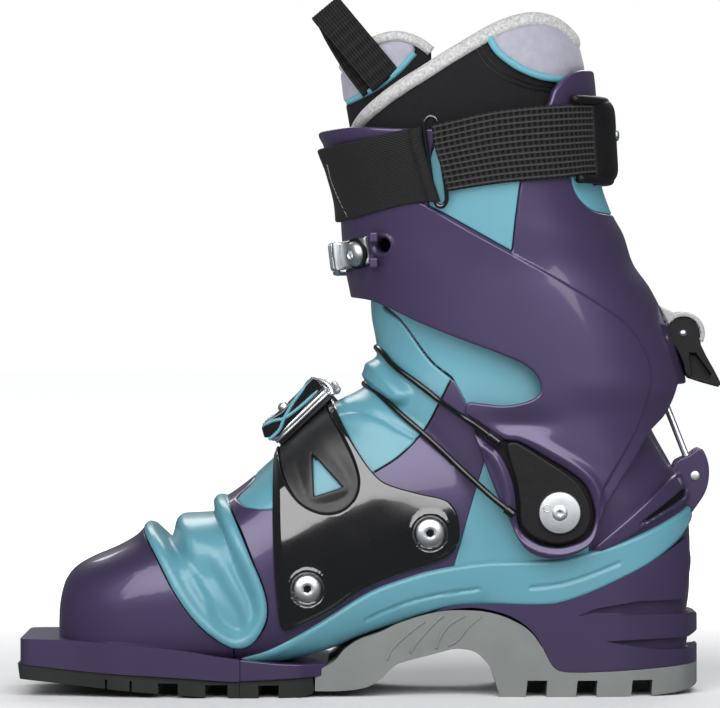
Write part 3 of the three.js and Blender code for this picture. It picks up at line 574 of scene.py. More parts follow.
# ---------- toe, bellows and lower shell ----------
FLEX_X = -55.0
TOE_EDGE = Outline([
    (-200, 14, "k"), (-57.8, 14, "k"), (-57.8, 22, "k"), (-66, 26), (-74, 33), (-82, 44), (-90, 58),
    (-95.5, 66), (-99, 73), (-99, 200, "k"), (-200, 200, "k")])
SHELL_EDGE = Outline([
    (-57.3, 13, "k"), (-57.3, 22, "k"), (-50, 23), (-44.6, 29.5), (-43, 36.7), (-44.4, 45.2), (-49.4, 58),
    (-54.2, 70), (-59.2, 79.5), (-63.5, 85, "k"), (-70, 100, "k"), (-70, 200, "k"), (200, 200, "k"),
    (200, 4, "k"), (20, 4, "k"), (-20, 13, "k")])
FRONT_RUN = [(-99.6, 73), (-95.6, 66), (-90.2, 58), (-82.2, 43.6), (-74.2, 32.6), (-66, 25.4), (-57.5, 21.2)]
REAR_RUN = [(-50.5, 22.6), (-44.9, 29.5), (-43, 37), (-44.6, 46), (-49.6, 58.4), (-54.4, 70), (-58.6, 79)]
BELLOWS_EDGE = Outline([(-99.6, 120, "k"), *FRONT_RUN, *REAR_RUN, (-62.8, 86, "k"), (-64, 120, "k")])
BELLOWS_FRONT = Mark([(-99.6, 130), *FRONT_RUN])
BELLOWS_REAR = Mark([FRONT_RUN[-1], *REAR_RUN, (-62.8, 86), (-64, 130)])
INSTEP_EDGE = Outline([
    (-57, 83, "k"), (-49, 93), (-49, 120, "k"), (-14, 190, "k"), (5.4, 190, "k"), (5.4, 165.4), (12.6, 159.1),
    (25.2, 142.2), (34.4, 134.6, "k"), (29.5, 124.6), (23.1, 113), (12.6, 102.1), (0.8, 94.6), (-12.7, 88),
    (-40.2, 79.8), (-52.8, 80.2)])
ANKLE_EDGE = Outline([
    (5, 190, "k"), (75, 190, "k"), (80, 120, "k"), (88, 100, "k"), (92.5, 70, "k"), (92.5, 50, "k"),
    (34.5, 52, "k"), (44.7, 88), (48.5, 100.4, "k"), (42, 121), (34.9, 135.3, "k"), (25.9, 142.6),
    (13.2, 159.5), (5, 166.5, "k")])
TOP_CUT = Outline([
    (-60, 174, "k"), (60, 162, "k"), (98, 121, "k"), (170, 117, "k"), (170, 300, "k"), (-60, 300, "k")])
BAND_EDGE = Outline([
    (-55, 16.4, "k"), (-44.4, 19.4), (-33.8, 24.6), (-21.2, 32), (-4.3, 42.6), (4.1, 46.8), (12.6, 49.8),
    (25.2, 53.6), (46.3, 57), (63.2, 57.8), (80.1, 58.7), (97, 62.9), (113.9, 68.6), (126.5, 74.5),
    (141, 82.6, "k"), (141, 77.6, "k"), (135, 70.5), (130.7, 65), (118.1, 55.7), (105.4, 49.4), (92.8, 43.9),
    (80.1, 39.7), (71.7, 38.8), (46.3, 38.8), (33.7, 38), (21, 35), (12.6, 32.1), (-4.3, 26.2), (-17, 20.7),
    (-29.6, 16.8), (-42.3, 15)])

# Bellows: a bead all round, a groove and a second fold over the foot, and a basin on each side.
FOLDS_OVER_FOOT = [
    (0, 3.0), (0.06, 4.2), (0.11, 3.6), (0.23, -4.8), (0.27, -4.8), (0.39, 1.7), (0.47, 2.2), (0.81, -3.2),
    (0.86, 2.2), (0.93, 2.8), (1, 1.0)]
FOLDS_AT_SIDE = [
    (0, 0), (0.13, -1.3), (0.27, -0.5), (0.35, -3.2), (0.52, -4.6), (0.61, -2.2), (0.67, -1.9), (0.77, -4.2),
    (0.9, -1.0), (1, 0)]


def bellows_lift(points, depth):
    """Height of the folds, from their sections over the foot and at its sides."""
    ahead, behind = BELLOWS_FRONT.gap(points), BELLOWS_REAR.gap(points)
    across = ahead / (ahead + behind)
    over = ramp(points[:, 2], 50, 67)
    bead = 1.9 * np.exp(-(((depth - 2.5) / 2.3) ** 2))
    at_side = bead + np.interp(across, *zip(*FOLDS_AT_SIDE)) * ramp(depth, 3.4, 7.5)
    return 0.4 + (1 - over) * at_side + over * np.interp(across, *zip(*FOLDS_OVER_FOOT))


ball_of_foot = boot.crop(np.array((-110, -80, 10)), np.array((-35, 80, 120))).refined()
part = region(ball_of_foot, [inside(BELLOWS_EDGE)], ring_set(1.4))
part.points = part.points + part.normals * bellows_lift(part.points, part.depth)[:, None]
held = np.where(part.depth < 0.6, 0.0, 0.5)
part.points = relax(part.points, part.faces, 4, held)
part.normals = relax(normals_of(part.points, part.faces), part.faces, 2)
part.normals /= np.linalg.norm(part.normals, axis=1, keepdims=True)
bellows_top = part.points + part.normals * (rolled(part.depth, 1.5) + 0.3)[:, None]
bellows_points, bellows_faces = walls(bellows_top, part.points - part.normals * 2.6, part.faces)
bellows = mesh_object("bellows_sheet", bellows_points, bellows_faces)
bellows.data.materials.append(TEAL)
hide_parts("bellows")
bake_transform(bellows)

part = region(boot, [inside(TOE_EDGE), outside(BELLOWS_EDGE)], ring_set(0.9), (), (-160, -80, 10),
              (-50, 80, 120))
flare = 3.0 * ramp(part.points[:, 2], 52, 68) * np.exp(-BELLOWS_FRONT.gap(part.points) / 3.4)
shell_piece("toe_box", part, "toe", PURPLE, 3.4, 0.4, flare, ["toe_shell"])

part = region(boot, [inside(SHELL_EDGE), outside(INSTEP_EDGE), outside(ANKLE_EDGE), outside(BELLOWS_EDGE),
                     outside(TOP_CUT)], ring_set(0.7))
flap = 1.6 * ramp(part.points[:, 2], 60, 80) * np.exp(-np.clip(part.points[:, 0] + 66, 0, 60) / 9)
shell_piece("lower_shell_purple", part, "lower", PURPLE, 3.6, 0.4, flap, ["lower_shell"])

# Vamp: a lobe between the cables and an arched crease under the lower cable.
LOBE = Outline([
    (-6, 139), (0, 143.5), (6, 141.5), (12, 135), (18, 128.4), (15.8, 124), (11, 123.4), (5, 126.6),
    (-2, 131), (-8, 134)])
ARCH = Mark([(-16, 119), (-6, 120.6), (4, 117.6), (12, 113), (20, 109)])


def vamp_lift(points):
    """Height of the lobe and of the arched crease."""
    lobe = 4.4 * ramp(-LOBE.signed(points), -1.0, 4.0)
    arch = ARCH.gap(points)
    return lobe + groove(arch, 1.1, 0.5) + 0.7 * np.exp(-(((arch - 3) / 3) ** 2))


part = region(boot, [inside(INSTEP_EDGE), outside(TOP_CUT)], ring_set(0.9),
              [(LOBE.signed, (-4, -2, -0.5, 1)), (ARCH.gap, (0.6, 1.6))], (-70, -80, 70), (50, 80, 200))
shell_piece("vamp_teal", part, "lower", TEAL, 3.6, 0.9, vamp_lift(part.points) + 0.4, ["instep_panel"])

part = region(boot, [inside(ANKLE_EDGE), outside(TOP_CUT)], ring_set(0.5), (), (0, -80, 40), (110, 80, 200))
shell_piece("ankle_teal", part, "lower", TEAL, 3.6, 0.5, 0.0,
            ["ankle_panel_medial", "ankle_panel_lateral"])


def seam(name, line, side, radius=0.45, lift=0.1):
    """Dark joint line between two shell pieces."""
    path = [on_boot.side(x, z, side, lift)[0] for x, z in smooth_line(line)]
    path = [p for p in path if p is not None]
    dress(tube(name, path, radius, 8), "lower", SATIN)


BAND_GROOVES = [Mark([(-2, 33.6), (12.6, 39.6), (28, 43.6), (46, 46)], 4),
                Mark([(68, 46.6), (80, 48), (92, 51.6), (105, 56.8)], 4)]
part = region(boot, [inside(BAND_EDGE)], ring_set(2.0),
              [(m.gap, (0.35, 0.8, 1.5)) for m in BAND_GROOVES], (-60, -80, 10), (150, 80, 90))
band_lift = 1.8 + sum(groove(m.gap(part.points), 0.75, 1.0) for m in BAND_GROOVES)
shell_piece("side_band_teal", part, "lower", TEAL, 1.0, 2.0, band_lift, ["side_band"])


# ---------- solids cut from prisms ----------
def prism(name, line, low, high, plan=False):
    """Solid between two levels of an outline, seen from the side or, for a plan, from above."""
    line = np.asarray(line, float)
    n = len(line)
    layers = []
    for level in (low, high):
        flat = np.full(n, float(level))
        columns = [line[:, 0], line[:, 1], flat] if plan else [line[:, 0], flat, line[:, 1]]
        layers.append(np.column_stack(columns))
    faces = [tuple(range(n)), tuple(range(2 * n - 1, n - 1, -1))]
    faces += [(i, i + n, (i + 1) % n + n, (i + 1) % n) for i in range(n)]
    made = mesh_object(name, np.vstack(layers), faces)
    bpy.context.view_layer.objects.active = made
    mesh = made.data
    work = bmesh.new()
    work.from_mesh(mesh)
    bmesh.ops.recalc_face_normals(work, faces=work.faces)
    work.to_mesh(mesh)
    work.free()
    return made


def settle(made):
    """Applies an object's modifiers."""
    graph = bpy.context.evaluated_depsgraph_get()
    mesh = bpy.data.meshes.new_from_object(made.evaluated_get(graph))
    made.modifiers.clear()
    made.data = mesh
    return made


def combine(made, others, operation="DIFFERENCE"):
    for other in others:
        step = made.modifiers.new("cut", "BOOLEAN")
        step.operation = operation
        step.solver = "EXACT"
        step.object = other
        settle(made)
        bpy.data.objects.remove(other)
    return made


def soften(made, width, segments=3, angle=32):
    """Rounds the sharp edges of a solid."""
    bevel = made.modifiers.new("round", "BEVEL")
    bevel.width = width * MM
    bevel.segments = segments
    bevel.limit_method = "ANGLE"
    bevel.angle_limit = math.radians(angle)
    bevel.harden_normals = True
    settle(made)
    return made


def smooth_outline(points, parts=5):
    return smooth_line(points, closed=True, parts=parts)


def side_prism(name, line, side, inner, outer):
    """Prism between two distances from the middle, on one side of the boot."""
    return prism(name, line, *sorted((side * inner, side * outer)))


def box_cut(low, high):
    x0, y0, z0 = low
    x1, y1, z1 = high
    return prism("cutter", [(x0, z0), (x1, z0), (x1, z1), (x0, z1)], y0, y1)


def rounded_copy(node, name, body, material, width=0.6, segments=3):
    """A CAD node's solid with its edges rounded."""
    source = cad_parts[node]
    made = bpy.data.objects.new(name, source.data.copy())
    bpy.context.scene.collection.objects.link(made)
    work = bmesh.new()
    work.from_mesh(made.data)
    bmesh.ops.remove_doubles(work, verts=work.verts, dist=0.00002)
    bmesh.ops.dissolve_limit(work, angle_limit=math.radians(4), verts=work.verts, edges=work.edges)
    work.to_mesh(made.data)
    work.free()
    made.data.shade_smooth()
    soften(made, width, segments, 24)
    return dress(made, body, material, [node])


def tube(name, points, radius, around=12, flat=1.0, closed=False):
    """Round or flattened bar along a line of points."""
    points = np.asarray(points, float)
    ahead = np.gradient(points, axis=0) if not closed else np.roll(points, -1, 0) - np.roll(points, 1, 0)
    ahead /= np.linalg.norm(ahead, axis=1, keepdims=True)
    up = np.array([0.1, 1.0, 0.2])
    rings = []
    for spot, way in zip(points, ahead):
        side = np.cross(way, up)
        side /= np.linalg.norm(side)
        up = np.cross(side, way)
        angle = full_turn(around)[:, None]
        rings.append(spot + radius * (np.cos(angle) * side + flat * np.sin(angle) * up))
    if closed:
        rings.append(rings[0])
    points, faces = tube_grid(rings, close_ends=not closed)
    return mesh_object(name, points, [face[::-1] for face in faces])


def turned(name, profile, centre, axis, hexes=(), around=48):
    """Solid turned about an axis from (radius, height) rows; the rows in `hexes` are six-sided."""
    axis = np.array(axis, float) / np.linalg.norm(axis)
    side = np.cross(axis, (0.3, 0.2, 0.9))
    side /= np.linalg.norm(side)
    up = np.cross(axis, side)
    angle = full_turn(around)
    six = math.cos(math.pi / 6) / np.cos(angle % (math.pi / 3) - math.pi / 6)
    rings = []
    for k, (radius, height) in enumerate(profile):
        r = radius * (six if k in hexes else 1)
        rings.append(np.array(centre) + height * axis + (r * np.cos(angle))[:, None] * side
                     + (r * np.sin(angle))[:, None] * up)
    p, f = tube_grid(rings, close_ends=True)
    made = mesh_object(name, p, f)
    return soften(made, 0.12, 2, 38)


# ---------- platform, rubber and heel ----------
def mirrored(half, middle=()):
    """Plan outline from its half on the -Y side."""
    return half + list(middle) + [(x, -y, *corner) for x, y, *corner in half[::-1]]


PLATFORM_PLAN = smooth_outline(mirrored([
    (-150.2, -31, "k"), (-148.4, -35), (-138, -37.5), (-126, -39.5), (-110, -43.5), (-90, -46), (-70, -47),
    (-50, -46.8), (-30, -44, "k"), (-18, -38, "k")]))
PLATFORM_SIDE = smooth_outline([
    (-151, 14, "k"), (-120, 10.9), (-80, 8.6), (-55, 7.2), (-10, 9.5, "k"), (-14, 14, "k"), (-36, 14.4),
    (-50, 15.8), (-64, 17.6), (-80, 20.2), (-104, 22.4), (-130, 24.2, "k"), (-151, 24.4, "k")])
RUBBER_SIDE = smooth_outline([
    (-149.6, 14, "k"), (-120, 10.9), (-80, 8.6), (-55, 7.2), (-24.3, 8.6, "k"), (-24.3, 1.6), (-34, 0.1),
    (-55, 0.1), (-70, 0.5), (-89, 1.8), (-101, 2.6), (-114, 3.9), (-148.6, 7.4, "k")], 3)
TREAD_GAPS = [(-112, -111.2, 7.6), (-101.5, -100.7, 7.2), (-89.4, -81.2, 6.2), (-69.5, -60.2, 5.6),
              (-47.2, -38.6, 5.4)]


def sole_solid(name, side, plan, cuts, width):
    made = combine(prism(name, side, -70, 70), [prism("plan", plan, -10, 100, plan=True)], "INTERSECT")
    return soften(combine(made, cuts), width)


def pin_recess():
    """Room under the duckbill for the three-pin plate."""
    return box_cut((-149.4, -24.4, -5), (-132.6, 24.4, 12))


def tread_cuts():
    return [box_cut((start, -70, -5), (end, 70, top)) for start, end, top in TREAD_GAPS] + [pin_recess()]


def other_half(side):
    """All that lies past the flex line from the half on one side of it."""
    start, end = sorted((FLEX_X - side * 0.06, side * 200))
    return box_cut((start, -90, -20), (end, 90, 90))


for body, side, node in (("toe", 1, "front_outsole_toe"), ("lower", -1, "front_outsole_rear")):
    cuts = [other_half(side)] + ([pin_recess()] if body == "toe" else [])
    made = sole_solid(f"platform_{body}", PLATFORM_SIDE, PLATFORM_PLAN * (0.989, 1), cuts, 1.2)
    dress(made, body, PURPLE)
    made = sole_solid(f"rubber_{body}", RUBBER_SIDE, PLATFORM_PLAN * (1.0, 0.975),
                      [other_half(side)] + tread_cuts(), 0.5)
    dress(made, body, RUBBER, [node])

SOLE_PLAN = smooth_outline(mirrored([
    (-23.4, -39.5, "k"), (0, -38.6), (40, -38), (80, -39.2), (105, -38.2), (122, -33), (133, -26),
    (139, -14)], [(140.8, 0)]), 6)
HEEL_SIDE = smooth_outline([
    (24, 34.8, "k"), (34, 38.2), (50, 39.4), (71.7, 39.6), (92.8, 44.4), (118, 56.2), (135, 67, "k"),
    (137, 58), (136, 50), (134.2, 44), (133, 38, "k"), (133, 35.4, "k"), (139.8, 34.2, "k"), (140.6, 33, "k"),
    (140.6, 26.6, "k"), (136, 24.6, "k"), (135.2, 21, "k"), (137, 18.6, "k"), (140.6, 20.4, "k"),
    (140.6, 13.4, "k"), (122.3, 12.2), (97, 10.9), (80.8, 11), (76.6, 14.4), (73.2, 21), (68, 28.4), (60, 34),
    (50, 37), (42, 37.8), (30, 36.6)], 4)
heel_cuts = []
for x, z, low, high in ((88, 34.6, 34.6, 40.6), (100, 23.4, 19.6, 24.6)):
    slot = [(x, z), (x + 22, low), (160, low), (160, high), (x + 26, high), (x + 8, (z + high) / 2)]
    for side in (-1, 1):
        cutter = side_prism("cutter", slot, side, 10, 60)
        keep = prism("inner", SOLE_PLAN * (1, 0.925) - (2.4, 0), -10, 100, plan=True)
        heel_cuts.append(combine(cutter, [keep]))
made = sole_solid("heel_block_ribbed", HEEL_SIDE, SOLE_PLAN, heel_cuts, 0.7)
dress(made, "lower", PURPLE, ["heel_block"])

ARCH_SIDE = smooth_outline([
    (-23.3, 9.3, "k"), (-21, 11.8), (-14.9, 15.4), (-10.6, 20.4), (-4.3, 24.5), (4.1, 27.4), (12.6, 31.4),
    (29.5, 36.2), (42.1, 36.6), (50.6, 35.7), (59, 33), (67.4, 28), (73.4, 20), (76.8, 13.7), (80.8, 10.8),
    (97, 10.6), (122.3, 11.9), (140.6, 13.2, "k"), (140.6, 4.2), (132, 1.6), (124, 0.7), (116.8, 0, "k"),
    (55, 0, "k"), (52.7, 7.2), (50.6, 12.7), (46.3, 17.7), (42.1, 19.8), (35.8, 20.3), (31.6, 19.4),
    (25.2, 17.7), (12.6, 14.3), (9.2, 12.2), (4.1, 7.2), (-2, 4), (-12.7, 2.6), (-23.3, 2.6, "k")], 4)
HEEL_GAPS = [(66.6, 75.0), (87.8, 96.2), (111.2, 119.8)]
cuts = [side_prism("cutter", [(a - 1.4, -5), (b - 0.8, -5), (b, 7.0), (a, 7.0)], side, 9, 70)
        for a, b in HEEL_GAPS for side in (-1, 1)]
made = sole_solid("sole_arch_and_heel", ARCH_SIDE, SOLE_PLAN, cuts, 0.8)
dress(made, "lower", GREY_RUBBER, ["rear_outsole"])
plan_half = curve([(-23, 39.5), (0, 38.6), (40, 38), (80, 39.2)])
RIBS = [[(7, 15.5), (9, 20), (14, 25), (20, 30), (23, 32)],
        [(17, 18.5), (19, 22), (24, 28), (29, 33), (31, 34.4)],
        [(28, 20.5), (29, 24), (33, 30), (40, 34.6)], [(33, 21.5), (37, 24), (42, 30), (47, 34)]]
for side, word in SIDES:
    for k, rib in enumerate(RIBS):
        line = smooth_line(rib)
        path = np.column_stack([line[:, 0], side * (plan_half(line[:, 0]) - 0.15), line[:, 1]])
        dress(tube(f"arch_rib_{word}_{k + 1}", path, 0.75, 10, 0.7), "lower", GREY_RUBBER)

LUG = smooth_outline([
    (126, 80, "k"), (131, 98), (137, 101.6), (142, 104.4), (145, 99), (145.6, 92.6), (144.2, 86), (140.6, 80),
    (136, 74.5), (126, 70, "k")])
for side, word in SIDES:
    plate = side_prism(f"anchor_lug_{word}", LUG, side, 3.8, 9.2)
    dress(soften(plate, 1.2, 4), "lower", PURPLE)

# Strut from the anchor down to the band, with a tapering slot, on both sides of the heel.
STRUT_EDGE = Outline([
    (136.6, 95.4, "k"), (130, 93.4), (124, 89), (109, 76), (93.4, 63, "k"), (97.4, 62, "k"), (106, 66),
    (114, 71), (124, 76.6), (134, 82), (139, 87, "k")])
STRUT_SLOT = Outline([(134.2, 88.2, "k"), (133.2, 83.6, "k"), (113.4, 72.6, "k"), (115, 74.6, "k")])
part = region(boot, [inside(STRUT_EDGE), outside(STRUT_SLOT)], ring_set(1.0), (), (88, -80, 50),
              (150, 80, 110))
shell_piece("heel_strut", part, "lower", PURPLE, 0.6, 1.0, 2.6)
# Dark sheet in the strut's slot: painted shade where the shell shows through.
part = region(boot, [lambda p: STRUT_SLOT.signed(p) - 0.6], ring_set(0.4), (), (88, -80, 50), (150, 80, 110))
shell_piece("heel_strut_slot_painted_shade", part, "lower", SATIN, 0.6, 0.4, 0.5)
for side, word in SIDES:
    seam(f"vamp_seam_{word}", [(34.0, 134.0), (29.3, 124.6), (22.9, 113), (12.4, 102.1), (2, 95.4)], side)

# ---------- forefoot plate ----------
PLATE_LOW_RUN = [
    (-40.8, 95.8), (-41.2, 74.7), (-40.8, 57.8), (-39.4, 40.9), (-36.8, 29.1), (-29.6, 30.8), (-17, 36.7),
    (-4.3, 45), (12.6, 52.2), (25.2, 56), (32.4, 59), (36.4, 62.9)]
PLATE_EDGE = Outline([
    (-40.2, 108, "k"), *PLATE_LOW_RUN, (37.7, 68.4), (36.8, 76.8), (33.7, 81.9), (29.5, 84.2), (21, 86),
    (6.3, 90.3), (0.8, 95), (-4.3, 102.1), (-8.5, 109.3), (-13.4, 120.3), (-15.5, 133, "k"), (-42, 116, "k")])
PLATE_BEVEL = Mark([(-40.2, 108), *PLATE_LOW_RUN])
DISH_EDGE = Outline([
    (-37.4, 118, "k"), (-37.4, 104), (-35.8, 92), (-30, 82), (-21, 77.6), (-12.8, 78.4), (-7, 83), (-4.8, 90),
    (-6.4, 98), (-11, 108), (-16.2, 118), (-21.5, 132, "k"), (-40, 126, "k")])
WINDOW = Outline([(-24, 102, "k"), (-11.6, 88.4, "k"), (-23.6, 84.6, "k")])
SCREWS = [(-26.9, 46.4, 6.0), (25.0, 69.6, 6.3)]


def medial(reach):
    """Keeps the part on the medial side, up to a distance from the middle."""
    return lambda points: points[:, 1] + reach


def screw_gap(points):
    """Distance to the nearest screw's edge."""
    return np.min([np.hypot(points[:, 0] - x, points[:, 2] - z) - r for x, z, r in SCREWS], axis=0)


part = region(boot, [inside(PLATE_EDGE), outside(DISH_EDGE), medial(6)], ring_set(1.1),
              [(screw_gap, (-1.5, 0.2, 0.8, 1.4, 2.2)), (PLATE_BEVEL.gap, (0.4, 1.4, 2.6, 3.4, 4.2))],
              (-60, -80, 20), (60, 0, 140),
              first=[(DISH_EDGE.signed, (0, 1)), (PLATE_EDGE.signed, (-1, 0))])
bevel = -2.2 * (1 - ramp(PLATE_BEVEL.gap(part.points), 0.4, 4.0))
SWELL = Mark([(-30, 40), (-18, 52), (0, 60), (18, 68), (30, 72)])
swell = 1.0 * np.exp(-((SWELL.gap(part.points) / 11) ** 2))
from_screw = screw_gap(part.points)
well = 0.25 * np.exp(-(((from_screw - 1.8) / 0.6) ** 2)) - 1.6 * (1 - ramp(from_screw, 0.3, 1.3))
shell_piece("forefoot_plate_gloss", part, "lower", BLACK, 0.4, 1.1, 4.0 + swell + well + bevel,
            ["forefoot_plate"])
part = region(boot, [inside(DISH_EDGE), outside(WINDOW), medial(6)], ring_set(0.8),
              (), (-60, -80, 70), (10, 0, 140))
dip = 2.7 - 1.9 * ramp(part.depth, 0.5, 8) * (1 - ramp(part.points[:, 2], 92, 112))
shell_piece("forefoot_plate_dish", part, "lower", DISH, 0.2, 0.8, dip)


def screw_head(name, x, z, radius, side, finder, body, lift, replaced):
    """Domed head with a six-sided socket, square to the surface under it."""
    spot, normal = finder.side(x, z, side, lift)
    way = (Vector(normal) * 0.5 + Vector((0, side, 0))).normalized()
    profile = [(radius * 0.98, -3.4), (radius, -0.9), (radius * 0.96, 0.1), (radius * 0.84, 0.7),
               (radius * 0.6, 1.15), (radius * 0.42, 1.3), (radius * 0.36, 1.25), (radius * 0.34, 0.9),
               (radius * 0.3, 0.85), (radius * 0.29, -0.7), (radius * 0.1, -0.8)]
    made = turned(name, profile, spot, way, hexes=(8, 9))
    return dress(made, body, ZINC, replaced)


for k, (x, z, radius) in enumerate(SCREWS):
    screw_head(f"plate_screw_head_{k + 1}", x, z, radius, -1, on_boot, "lower", 3.6, [f"plate_screw_{k + 1}"])

# ---------- cuff ----------
CUFF_EDGE = Outline([
    (-40, 171.4, "k"), (-1.8, 168.2), (4.1, 166.3), (21, 158.3), (37.9, 151.5), (54.8, 145.2), (66, 140),
    (71.2, 134), (71.2, 128.6), (66.5, 125.4), (56.9, 123.6), (46.3, 124.5), (41.3, 124.7), (39.8, 120.3),
    (42.5, 113.9), (48.5, 100.4), (55.2, 83.6), (59.8, 74.7), (62.8, 67.9), (67, 62.7), (73.8, 59.9),
    (81.4, 59.9), (88.5, 62.7), (93.4, 67.3), (97.5, 78.1), (105.4, 91.6), (113.9, 104.2), (119, 112),
    (126.6, 119.2), (129.6, 124.8), (131.8, 132, "k"), (150, 132.6, "k"), (150, 266.5, "k"), (92, 266),
    (84.6, 263), (78.4, 257), (74.6, 249.8), (50, 246, "k"), (28.2, 240, "k"), (12.6, 240.2), (-10.8, 241),
    (-40, 237, "k")])
V_PANEL = Outline([
    (24.4, 207.6, "k"), (30, 204.8), (59.8, 188.2, "k"), (61.6, 204), (64.6, 222), (73.4, 245, "k"),
    (50, 243, "k"), (28.6, 239, "k"), (24.4, 226, "k")])
REAR_PATCH = Outline([
    (84.8, 222, "k"), (86.6, 214.5), (91, 208.6), (97, 205.4), (112, 204.4, "k"), (112, 222, "k")])
FLAP_LINE = Outline([
    (-60, 40, "k"), (-60, 250, "k"), (20, 210, "k"), (25.5, 207), (41, 197.6), (59.8, 187.4), (80, 176.2),
    (105.5, 160), (113.8, 150.6), (118, 142), (118.8, 133.8), (117, 125), (112, 112), (104, 98), (97, 84),
    (96, 40, "k")])
POCKET = Outline([
    (36, 122, "k"), (43, 119.4), (56.6, 110.4), (63, 109.4), (74.6, 102.8), (86.6, 95.4), (92.2, 89.8),
    (95.2, 82), (95.6, 74.6), (92, 67.2), (82.4, 63.2), (73.6, 63.4), (66.6, 66.6), (62, 71.6), (60.8, 78),
    (59.8, 88), (57.4, 96), (53.6, 103), (47.6, 108.4), (38, 114, "k")])
HOLE_AT = (5.4, 191.2)
front_crease = curve([(160, 0.4), (169, -1.3), (201, -6), (245, -10)])


def crease_gap(points):
    return points[:, 0] - front_crease(points[:, 2])


def hole_gap(points):
    """Distance to the edge of the small hole on the medial side."""
    gap = np.hypot(points[:, 0] - HOLE_AT[0], points[:, 2] - HOLE_AT[1]) - 3.1
    return np.where(points[:, 1] < 0, gap, 50)


def cuff_lift(points):
    """Height of the cuff's raised and sunk shapes: overlap, lug rim, hole boss, facet, top lip and scoop."""
    flap = 0.8 * ramp(-FLAP_LINE.signed(points), -0.5, 0.7)
    lug = ramp(-points[:, 2], -118, -104)
    rim = 1.3 * lug * np.exp(-(((POCKET.signed(points) - 2.0) / 1.8) ** 2))
    boss = 0.5 * (1 - ramp(hole_gap(points), 1.2, 2.4)) - 0.8 * (1 - ramp(hole_gap(points), -0.2, 1.0))
    facet = -0.16 * np.clip(-crease_gap(points), 0, 4.5)
    lip = 1.7 * ramp(points[:, 2], 234, 239) * ramp(-points[:, 0], -14, 2)
    scoop = -1.6 * np.exp(-(((points[:, 0] - 64) / 12) ** 2 + ((points[:, 2] - 116) / 5) ** 2))
    return flap + rim + boss + scoop + facet + lip


def in_pocket(points):
    return POCKET.signed(points) + 1.1


part = region(upper, [lambda p: CUFF_EDGE.signed(p) - 0.7 * ramp(-p[:, 2], -110, -96), outside(V_PANEL),
                      outside(REAR_PATCH), lambda p: -in_pocket(p), lambda p: -hole_gap(p)],
              ring_set(1.0), [(FLAP_LINE.signed, (-1.2, -0.6, 0, 0.6)), (crease_gap, (-4.5, 0)),
                              (hole_gap, (1, 1.6, 2.6))],
              first=[(in_pocket, (0, 1, 2.2)), (CUFF_EDGE.signed, (-1, 0, 0.7))])
shell_piece("cuff_purple", part, "cuff", PURPLE, 3.2, 1.0, cuff_lift(part.points), ["cuff"])
# Dark sheet sunk inside the lug's pocket: painted shade of the gap round the pivot plate.
part = region(upper, [inside(Outline([(30, 125, "k"), (100, 125, "k"), (100, 58, "k"), (30, 58, "k")])),
                      lambda p: POCKET.signed(p) - 1.2, lambda p: CUFF_EDGE.signed(p) + 1.0],
              ring_set(0.5), (), (20, -80, 50), (110, 80, 130))
shell_piece("lug_pocket_painted_shade", part, "cuff", SATIN, 3.0, 0.5, -2.4)
for side, word in SIDES:
    low, high = ((-90, 0) if side < 0 else (0, 90))
    part = region(upper, [lambda p: V_PANEL.signed(p) + 0.3], ring_set(0.6), (), (10, low, 180),
                  (90, high, 260))
    shell_piece(f"cuff_panel_{word}_teal", part, "cuff", TEAL, 2.4, 0.6, -0.5, [f"cuff_panel_{word}"])
part = region(upper, [lambda p: REAR_PATCH.signed(p) + 0.3], ring_set(0.6), (), (70, -80, 190),
              (130, 80, 230))
shell_piece("cuff_rear_patch_teal", part, "cuff", TEAL, 2.4, 0.6, -0.3)

# Pivot plate with its silver bolt, on each side.
PIVOT = (79.7, 78.5)
PIVOT_EDGE = [
    (57.6, 107.4), (61, 108.2), (65, 106.4), (73, 101.4), (84.6, 93.6), (89.4, 88.4), (92.6, 81.5), (93, 75),
    (89.9, 69), (81.4, 65.4), (74, 65.9), (67.3, 69), (63.4, 73.8), (62.6, 83), (61.2, 92), (58.4, 101)]
for side, word in SIDES:
    plate = side_prism(f"pivot_plate_{word}_grained", smooth_outline(PIVOT_EDGE), side, 44.6, 49.2)
    dress(soften(plate, 1.5, 4), "cuff", SATIN, [f"pivot_plate_{word}"])
    r = 8.9
    profile = [(r * 0.9, -4), (r, -3.4), (r, -0.5), (r * 0.96, 0), (r * 0.7, 0.25), (r * 0.36, 0.3),
               (r * 0.34, 0.75), (r * 0.29, 1.0), (r * 0.16, 1.0), (r * 0.155, -0.6), (r * 0.05, -0.7)]
    spot = (PIVOT[0], side * 51.2, PIVOT[1])
    dress(turned(f"pivot_bolt_{word}_head", profile, spot, (0, side, 0), hexes=(8, 9)), "lower", ZINC,
          [f"pivot_bolt_{word}"])
    ring = full_turn(24)
    path = np.column_stack([PIVOT[0] - 5.4 + 1.5 * np.cos(ring), np.full(24, side * 51.45),
                            PIVOT[1] + 1.9 + 1.5 * np.sin(ring)])
    dress(tube(f"bolt_ring_mark_{word}", path, 0.22, 8, closed=True), "lower", ZINC)

# ---------- power strap ----------
def wrap(angle, z, lift):
    """Point of the cuff's outside at an angle round it and a height."""
    front, back, half = cuff_front(z) - lift, cuff_back(z) + lift, cuff_half(z) + lift
    c, s = np.cos(angle), np.sin(angle)
    x = (front + back) / 2 + (back - front) / 2 * bent(c, 1 / 1.2)
    return np.stack([x, half * bent(s, 1 / 1.2), z * np.ones_like(x)], -1)


